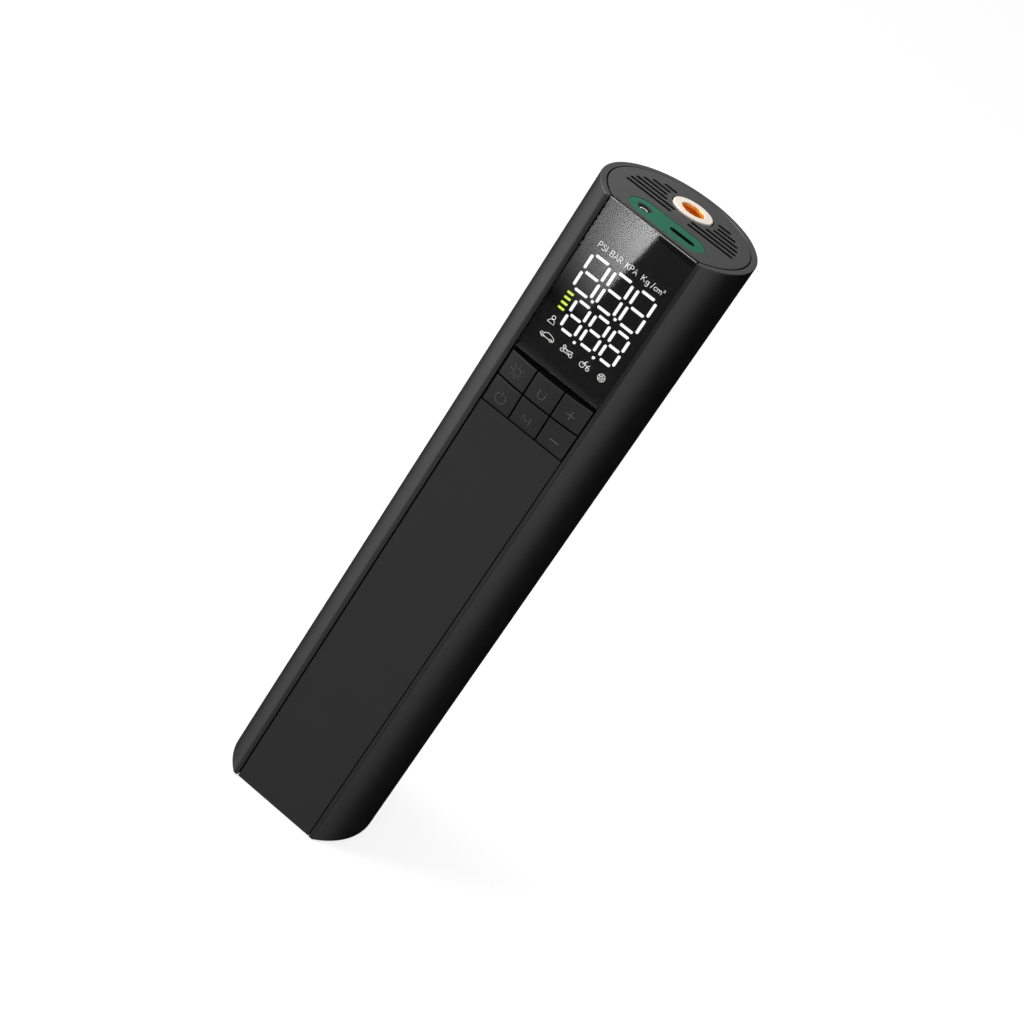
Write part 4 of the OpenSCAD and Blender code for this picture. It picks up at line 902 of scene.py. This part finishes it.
def placed(x, z, lines, circles=()):
    """Lines, and circles as (x, z, radius), moved to a place."""
    return ([[(x + a, z + b) for a, b in points] for points in lines],
            [(x + a, z + b, radius) for a, b, radius in circles])


def rays(count, start, near, far):
    """Short lines that point out from a centre."""
    turns = [start + 2 * math.pi * i / count for i in range(count)]
    return [[(r * math.cos(t), r * math.sin(t)) for r in (near, far)] for t in turns]


BALL_R = 1.15
BALL_CORE = 0.45
spokes = rays(5, math.pi / 2, BALL_CORE, BALL_R)
SIGNS = {
    "car": placed(-9.95, foot, [
        [(-0.4, 0), (-0.9, 0), (-0.95, 0.6), (-0.7, 0.8), (0.15, 0.9), (0.65, 1.35), (1.2, 1.62), (2.4, 1.45),
         (3.4, 1.05), (3.7, 0.6), (3.7, 0), (3.3, 0)],
        [(0.4, 0), (2.5, 0)]], [(0, 0, 0.38), (2.9, 0, 0.38)]),
    "motorcycle": placed(-2.9, foot + 0.15, [
        [(0.5, 0.9), (1.15, 0.95), (2.0, 0.85), (2.9, 1.25), (3.35, 1.2), (2.9, 0.75), (3.04, 0.5)],
        [(0.3, 0.4), (0.7, 0.75)], [(1.2, 0.9), (1.6, 0.4), (2.3, 0.25), (2.55, 0.05)],
        [(0.5, -0.1), (2.5, -0.15)]], [(0, 0, 0.5), (3.04, 0, 0.5), (0.2, 1.3, 0.42)]),
    "bicycle": placed(4.3, foot + 0.35, [
        [(0.05, 0.15), (0.55, 1.1), (0.75, 1.6), (1.15, 1.75)], [(0.4, 1.15), (0.8, 1.1)],
        [(0.6, 1.1), (1.0, 0.55), (1.55, 0.45), (1.95, -0.15)], [(1.5, 0.45), (2.1, 1.0)],
        [(1.9, 1.05), (2.35, 1.0)]], [(0, 0, 0.8), (2.0, -0.2, 0.52)]),
    "ball": placed(11.05, foot + 0.8, spokes, [(0, 0, BALL_R), (0, 0, BALL_CORE)]),
    "rider": placed(-10.98, rim_z - 40.75, [
        [(0, 0), (0.15, 0.5), (0.4, 0.86), (0.8, 1.25), (1.7, 1.25), (2.05, 0.7), (2.25, 0), (0, 0)]],
        [(1.14, 1.92, 0.56)]),
}
for name, (lines, rings) in SIGNS.items():
    sign = drawing(f"sign_{name}", lines, rings, SIGN_LINE, SIGN_Y, SIGN_DEPTH)
    dress(sign, "housing", "light_block", finish=sign_light)
print(len(SIGNS), "signs")

# %% [markdown]
# ## Signs on the keys
#
# The keys carry a sun, a U, a plus, a power sign, an M and a minus, printed in a grey that is only a little lighter
# than the key. They are drawn flat in front of the key and then wrapped on it: a Shrinkwrap modifier moves each
# point along Y to the key's crown. The print rides on its key.

# %% Mix the print
ink = plastic("faint grey print", (0.15, 0.15, 0.152), (0.18, 0.18, 0.182), 0.6, 0.2, 0.001)
INK_LINE = 0.32
INK_DEPTH = 0.02
INK_LIFT = 0.015
INK_START = 4
print("ink", INK_LINE, "mm wide")

# %% Draw the signs on the keys
key_signs = {
    "lamp": placed(-10, keys_z + 13.8, rays(8, 0, 1.75, 2.4), [(0, 0, 1.25)]),
    "unit": placed(-0.2, keys_z + 12.9, [[(-1.1, 1.9)] + arc(0, 0, 1.1, 180, 360) + [(1.1, 1.9)]]),
    "plus": placed(10, keys_z + 13.6, [[(-1.4, 0), (1.4, 0)], [(0, -1.4), (0, 1.4)]]),
    "power": placed(-10.1, keys_z + 3.8, [arc(0, 0, 1.75, 125, 415, 20), [(0, 0.5), (0, 2)]]),
    "mode": placed(-0.25, keys_z + 2.3, [[(-1.3, 0), (-1.3, 2.6), (0, 0.6), (1.3, 2.6), (1.3, 0)]]),
    "minus": placed(8.4, keys_z + 3.7, [[(0, 0), (3.3, 0)]]),
}
for name, (lines, rings) in key_signs.items():
    sign = drawing(f"print_{name}", lines, rings, INK_LINE, strip_y - INK_START, INK_DEPTH)
    open_for_edit(sign, "EDGE")
    bpy.ops.mesh.select_all(action="SELECT")
    bpy.ops.mesh.subdivide(number_cuts=2)
    close_edit()
    wrap = sign.modifiers.new("wrap", "SHRINKWRAP")
    wrap.target = keys[name]
    wrap.wrap_method = "PROJECT"
    wrap.use_project_y = True
    wrap.offset = INK_LIFT * MM
    apply_modifier(sign, "wrap")
    dress(sign, body_of[f"{name}_key"], "keys", finish=ink)
print(len(key_signs), "prints")


# %% [markdown]
# ## The painted highlight on the lens's edge, and what the lens mirrors
#
# The lens is cut from a sheet, and its top edge is ground. The thin line of light along that edge is a painted
# highlight: the rounded faces there that look up and forwards get a light grey, rough finish of their own. The
# pale patch in the upper left of the lens is the mirror image of a white card that stands close in front of it,
# and a large black flag behind the card keeps the rest of the lens dark. Only reflections see the two. The card
# lights nothing but the lens: light linking names the only piece it falls on. Its glow fades downwards and to the
# left, as a card's does that is lit from one side.

# %% Paint the highlight on the lens's edge
# The light grey of the ground edge is a painted highlight: the thin line of light that the edge catches.
ground = plastic("painted edge highlight", (0.3, 0.3, 0.3), (0.42, 0.42, 0.42), 0.6, 0.1, 0.002)
lens.data.materials.append(ground)
for face in lens.data.polygons:
    if face.normal.y < -0.1 and face.normal.z > 0.1:
        face.material_index = 1
print(sum(face.material_index for face in lens.data.polygons), "faces with the painted edge highlight")

# %% Helpers for what the lens mirrors
def sheet(name, centre, width, height):
    """An upright sheet that faces the pump, from its middle and its size in millimetres."""
    centre = Vector(centre) * MM
    deselect_all()
    bpy.ops.mesh.primitive_plane_add(size=MM, location=centre, rotation=(math.pi / 2, 0, 0))
    piece = apply_place(bpy.context.object)
    piece.name = name
    open_whole(piece)
    bpy.ops.transform.resize(value=(width, 1, height), center_override=centre)
    close_edit()
    return piece


def only_mirrored(piece, name, glow, pattern):
    """Gives a sheet a glow with a pattern, and hides it from all but reflections."""
    material, shader, place = surface(name, 1.0, Specular_IOR_Level=0)
    shader.inputs["Base Color"].default_value = grey(0)
    shader.inputs["Emission Strength"].default_value = glow
    feed(place.tree, shader.inputs["Emission Color"], pattern(place))
    piece.data.materials.append(material)
    for kind in ("camera", "diffuse", "transmission", "shadow"):
        setattr(piece, f"visible_{kind}", False)


def fading(along, start, end, least):
    """From least to 1 along one axis, between two places in millimetres."""
    return along.node("ShaderNodeMapRange", {"interpolation_type": "SMOOTHSTEP"},
                      {"Value": along, 1: start * MM, 2: end * MM, 3: least, 4: 1.0})


# %% Stand the card
CARD_Y = -70
CARD_CENTRE = (-17.2, CARD_Y, 198)
CARD_WIDTH, CARD_HEIGHT = 19.7, 40
CARD_CUT = 6.25
CARD_GLOW = 11
FADE_Z = (178, 214)
FADE_X = (-27, -8)
FADE_LEAST = 0.35


def card_fade(place):
    upward = fading(part_of(place, "Z"), *FADE_Z, 0)
    sideways = fading(part_of(place, "X"), *FADE_X, FADE_LEAST)
    return (upward * sideways).mix(grey(0), grey(1))


card = sheet("card", CARD_CENTRE, CARD_WIDTH, CARD_HEIGHT)
open_for_edit(card, "VERT")
pick(card, "verts", lambda vert: vert.co.z < CARD_CENTRE[2] * MM and vert.co.x > CARD_CENTRE[0] * MM)
bpy.ops.transform.translate(value=(-CARD_CUT * MM, 0, 0))
close_edit()
mirrors = bpy.data.collections.new("pieces that see the card")
mirrors.objects.link(lens)
card.light_linking.receiver_collection = mirrors
only_mirrored(card, "card light", CARD_GLOW, card_fade)
print("card stands at", CARD_Y, "mm")

# %% Stand the flag behind it
FLAG_WIDTH = 35
FLAG_X = -10.5
FLAG_BEHIND = 1
FLAG_TOP = 218
FLAG_DROP = 21
FLAG_GLOW = 0.13
flag_foot = lens_foot_z - FLAG_DROP


def felt(place):
    return noise(place, 4, 2).mix(grey(0.9), grey(1))


flag = sheet("flag", (FLAG_X, CARD_Y - FLAG_BEHIND, (FLAG_TOP + flag_foot) / 2), FLAG_WIDTH, FLAG_TOP - flag_foot)
only_mirrored(flag, "black felt", FLAG_GLOW, felt)
print("flag down to", round(flag_foot, 1), "mm")

# %% [markdown]
# ## The top: cap, port plate, bezel and lamp
#
# The cap sits a groove's width inside the shell. Its slots are opened to their full width of 1.6 mm: the points of
# each row are spread about the row's own middle line. Then the slots' edges and the cap's get a fine round. The
# port plate drops into its seat, the lamp's bezel is pressed into the plate, and a glowing ring lies round the
# lamp's dome: a painted highlight for the light that the dome's rim catches, since the lamp itself is off.

# %% Round the pieces of the top
VENT_ROWS = 6
VENT_PITCH = 3.07
VENT_FIRST = -3.425
VENT_W = 0.9
VENT_OPEN_W = 1.6
VENT_REACH = 19.4
VENT_DEPTH = 3
VENT_MIDDLE = 0.65
VENT_SLACK = 0.02
COLLAR_CLEAR = 8.2
vents_y = VENT_FIRST + VENT_MIDDLE
collar_low, collar_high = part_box("outlet_collar")
outlet_y = (collar_low.y + collar_high.y) / 2 / MM


def in_slot(spot, y):
    from_middle = math.hypot(spot.x, spot.y - vents_y)
    from_outlet = math.hypot(spot.x, spot.y - outlet_y)
    in_row = abs(spot.y - y) < VENT_W / 2 + VENT_SLACK and spot.z > cap_z - VENT_DEPTH
    return in_row and from_middle < VENT_REACH and from_outlet > COLLAR_CLEAR


cap = clean_copy("top_cap", "cap")
open_for_edit(cap, "VERT")
for i in range(VENT_ROWS):
    row_y = VENT_FIRST + i * VENT_PITCH
    bpy.ops.mesh.select_all(action="DESELECT")
    count = pick(cap, "verts", lambda vert: in_slot(vert.co / MM, row_y))
    bpy.ops.transform.resize(value=(1, VENT_OPEN_W / VENT_W, 1), center_override=(0, row_y * MM, 0))
    print("row", i, "has", count, "points")
close_edit()
rounded(cap, "top_cap", 0.07, lambda spot: spot.z > cap_z - 0.1, 2)
softened("port_plate", "plate", 0.06, lambda spot: spot.z > plate_z - 0.05, 2)
softened("lamp_bezel", "bezel", 0.12, lambda spot: spot.z > plate_z - 0.1, 2)
softened("usb_socket", "usb_shell", 0.06, segments=2)

# %% Lay the ring round the lamp's dome
# The ring glows although the lamp is off: it is a painted highlight on the lamp's dome.
RING_R = 1.22
RING_THICK = 0.17
RING_DROP = 0.42
RING_FLATTER = 0.8
lamp_low, lamp_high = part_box("lamp_led")
ring_place = (lamp_low + lamp_high) / 2
ring_place.z = lamp_high.z - RING_DROP * MM
deselect_all()
bpy.ops.mesh.primitive_torus_add(location=ring_place, major_radius=RING_R * MM, minor_radius=RING_THICK * MM,
                                 major_segments=64, minor_segments=12)
painted_glint_ring = apply_place(bpy.context.object)
painted_glint_ring.name = "painted_glint_ring"
open_whole(painted_glint_ring)
bpy.ops.transform.resize(value=(1, 1, RING_FLATTER), center_override=ring_place)
close_edit()
smooth(painted_glint_ring, SMOOTH_ANGLE)
dress(painted_glint_ring, "housing", "lamp", finish=light("painted ring highlight", (1, 1, 1), 0.9))
print("ring round", ring_place / MM, "mm")

# %% [markdown]
# ## The air outlet
#
# The cream collar has a soft, full lip. The insert inside it is turned from bar, so it is made by turning as well:
# its half section is drawn with a vertex that is extruded from point to point, and Spin carries it round. Its
# thread is a ridge of its own: a triangle swept up a helix by the Screw modifier. The two are joined. The ridge's
# tip is at the thread's inner radius, and its foot sinks into the wall, which is cut back to the thread's outer
# radius.

# %% Round the collar
collar_top = collar_high.z / MM
softened("outlet_collar", "collar", 0.32, lambda spot: spot.z > collar_top - 0.1, 4)

# %% Turn the insert
insert_low, insert_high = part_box("outlet_insert")
insert_foot = insert_low.z / MM
insert_top = insert_high.z / MM
FLANGE_R = (insert_high.x - insert_low.x) / 2 / MM
INSERT_R = 5.2
THREAD_TIP = 3.46
THREAD_ROOT = 3.95
THREAD_LENGTH = 9.0
THREAD_PITCH = 1.0
THREAD_TURNS = 7
THREAD_STEPS = 48
THREAD_SINK = 0.1
SLEEVE_R = 3.72
NIPPLE_R = 1.9
NIPPLE_H = 6.0
FLANGE_H = 2.5
AIR_R = 1.1
SLEEVE_DROP = 0.25
TURN_STEPS = 96
sleeve_top = collar_top - SLEEVE_DROP
thread_foot = insert_top - THREAD_LENGTH
flange_z = insert_foot + NIPPLE_H


def turned(name, half_section):
    """A solid turned about the outlet's axis, from the (radius, z) points of its closed half section."""
    piece = path(half_section)
    piece.name = name
    open_whole(piece)
    bpy.ops.mesh.spin(steps=TURN_STEPS, angle=2 * math.pi, center=(0, 0, 0), axis=(0, 0, 1))
    bpy.ops.mesh.select_all(action="SELECT")
    bpy.ops.mesh.remove_doubles(threshold=WELD)
    bpy.ops.mesh.normals_make_consistent(inside=False)
    bpy.ops.transform.translate(value=(0, outlet_y * MM, 0))
    close_edit()
    return piece


section = [(AIR_R, insert_foot), (NIPPLE_R, insert_foot), (NIPPLE_R, flange_z), (FLANGE_R, flange_z),
           (FLANGE_R, flange_z + FLANGE_H), (INSERT_R, flange_z + FLANGE_H), (INSERT_R, insert_top),
           (SLEEVE_R, insert_top), (SLEEVE_R, sleeve_top), (SLEEVE_R - 0.12, sleeve_top + 0.1),
           (THREAD_TIP + 0.08, sleeve_top), (THREAD_TIP + 0.02, insert_top + 0.15), (THREAD_ROOT, insert_top - 0.35),
           (THREAD_ROOT, thread_foot), (AIR_R, thread_foot - 0.8), (AIR_R, insert_foot)]
insert = turned("insert", section)
print("insert", round(insert_foot, 1), "to", round(sleeve_top, 1), "mm")

# %% Cut the thread
ridge_r = THREAD_ROOT + THREAD_SINK
ridge_z = thread_foot + 0.2
ridge = path([(ridge_r, ridge_z), (THREAD_TIP, ridge_z + THREAD_PITCH / 2), (ridge_r, ridge_z + THREAD_PITCH),
              (ridge_r, ridge_z)])
open_whole(ridge)
bpy.ops.mesh.remove_doubles(threshold=WELD)
bpy.ops.mesh.edge_face_add()
close_edit()
sweep = ridge.modifiers.new("sweep", "SCREW")
sweep.axis = "Z"
sweep.screw_offset = THREAD_PITCH * MM
sweep.iterations = THREAD_TURNS
sweep.steps = THREAD_STEPS
sweep.render_steps = THREAD_STEPS
apply_modifier(ridge, "sweep")
open_whole(ridge)
bpy.ops.mesh.remove_doubles(threshold=WELD / 10)
bpy.ops.mesh.normals_make_consistent(inside=False)
bpy.ops.transform.translate(value=(0, outlet_y * MM, 0))
close_edit()
insert = joined([insert, ridge], "insert")
smooth(insert, SHARP_ANGLE)
dress(insert, "housing", "brass", "outlet_insert")
print("insert has", len(insert.data.polygons), "faces")

# %% [markdown]
# ## The base
#
# The base plate closes the body below. It and its four screws have small rounds. The body stands on the shell's end
# and on the plate, which are level.

# %% Round the base and its screws
softened("bottom_cap", "base", 0.25, lambda spot: spot.z < 0.05)
softened("bottom_screws", "base_screws", 0.08, lambda spot: spot.z < 2, 2)

# %% [markdown]
# ## The inside
#
# The parts inside are seen only when the pump is taken apart. Castings, mouldings and turned parts have rounded
# edges too, so they get the same step with a width that suits each: large on castings, small on turned parts and
# boards. Springs, gears' teeth and thin sheet keep the edges of the CAD.

# %% Round the parts inside
INSIDE = {
    "front_carrier": 0.15, "upper_holder": 0.3, "lower_holder": 0.3, "pump_frame": 0.3,
    "pump_cylinder": 0.12, "cylinder_head": 0.25, "valve_plate": 0.08, "piston": 0.12, "con_rod": 0.15,
    "motor_can": 0.3, "motor_end_cap": 0.2, "battery_cells": 0.15, "pressure_sensor": 0.1, "crank_bush": 0.1,
    "wrist_pin": 0.12, "crank_pin": 0.1, "motor_shaft": 0.1, "main_board": 0.08, "front_board": 0.08,
    "port_board": 0.08, "tact_switches": 0.08,
}
for node, width in INSIDE.items():
    softened(node, f"{node}_finished", width, segments=2)
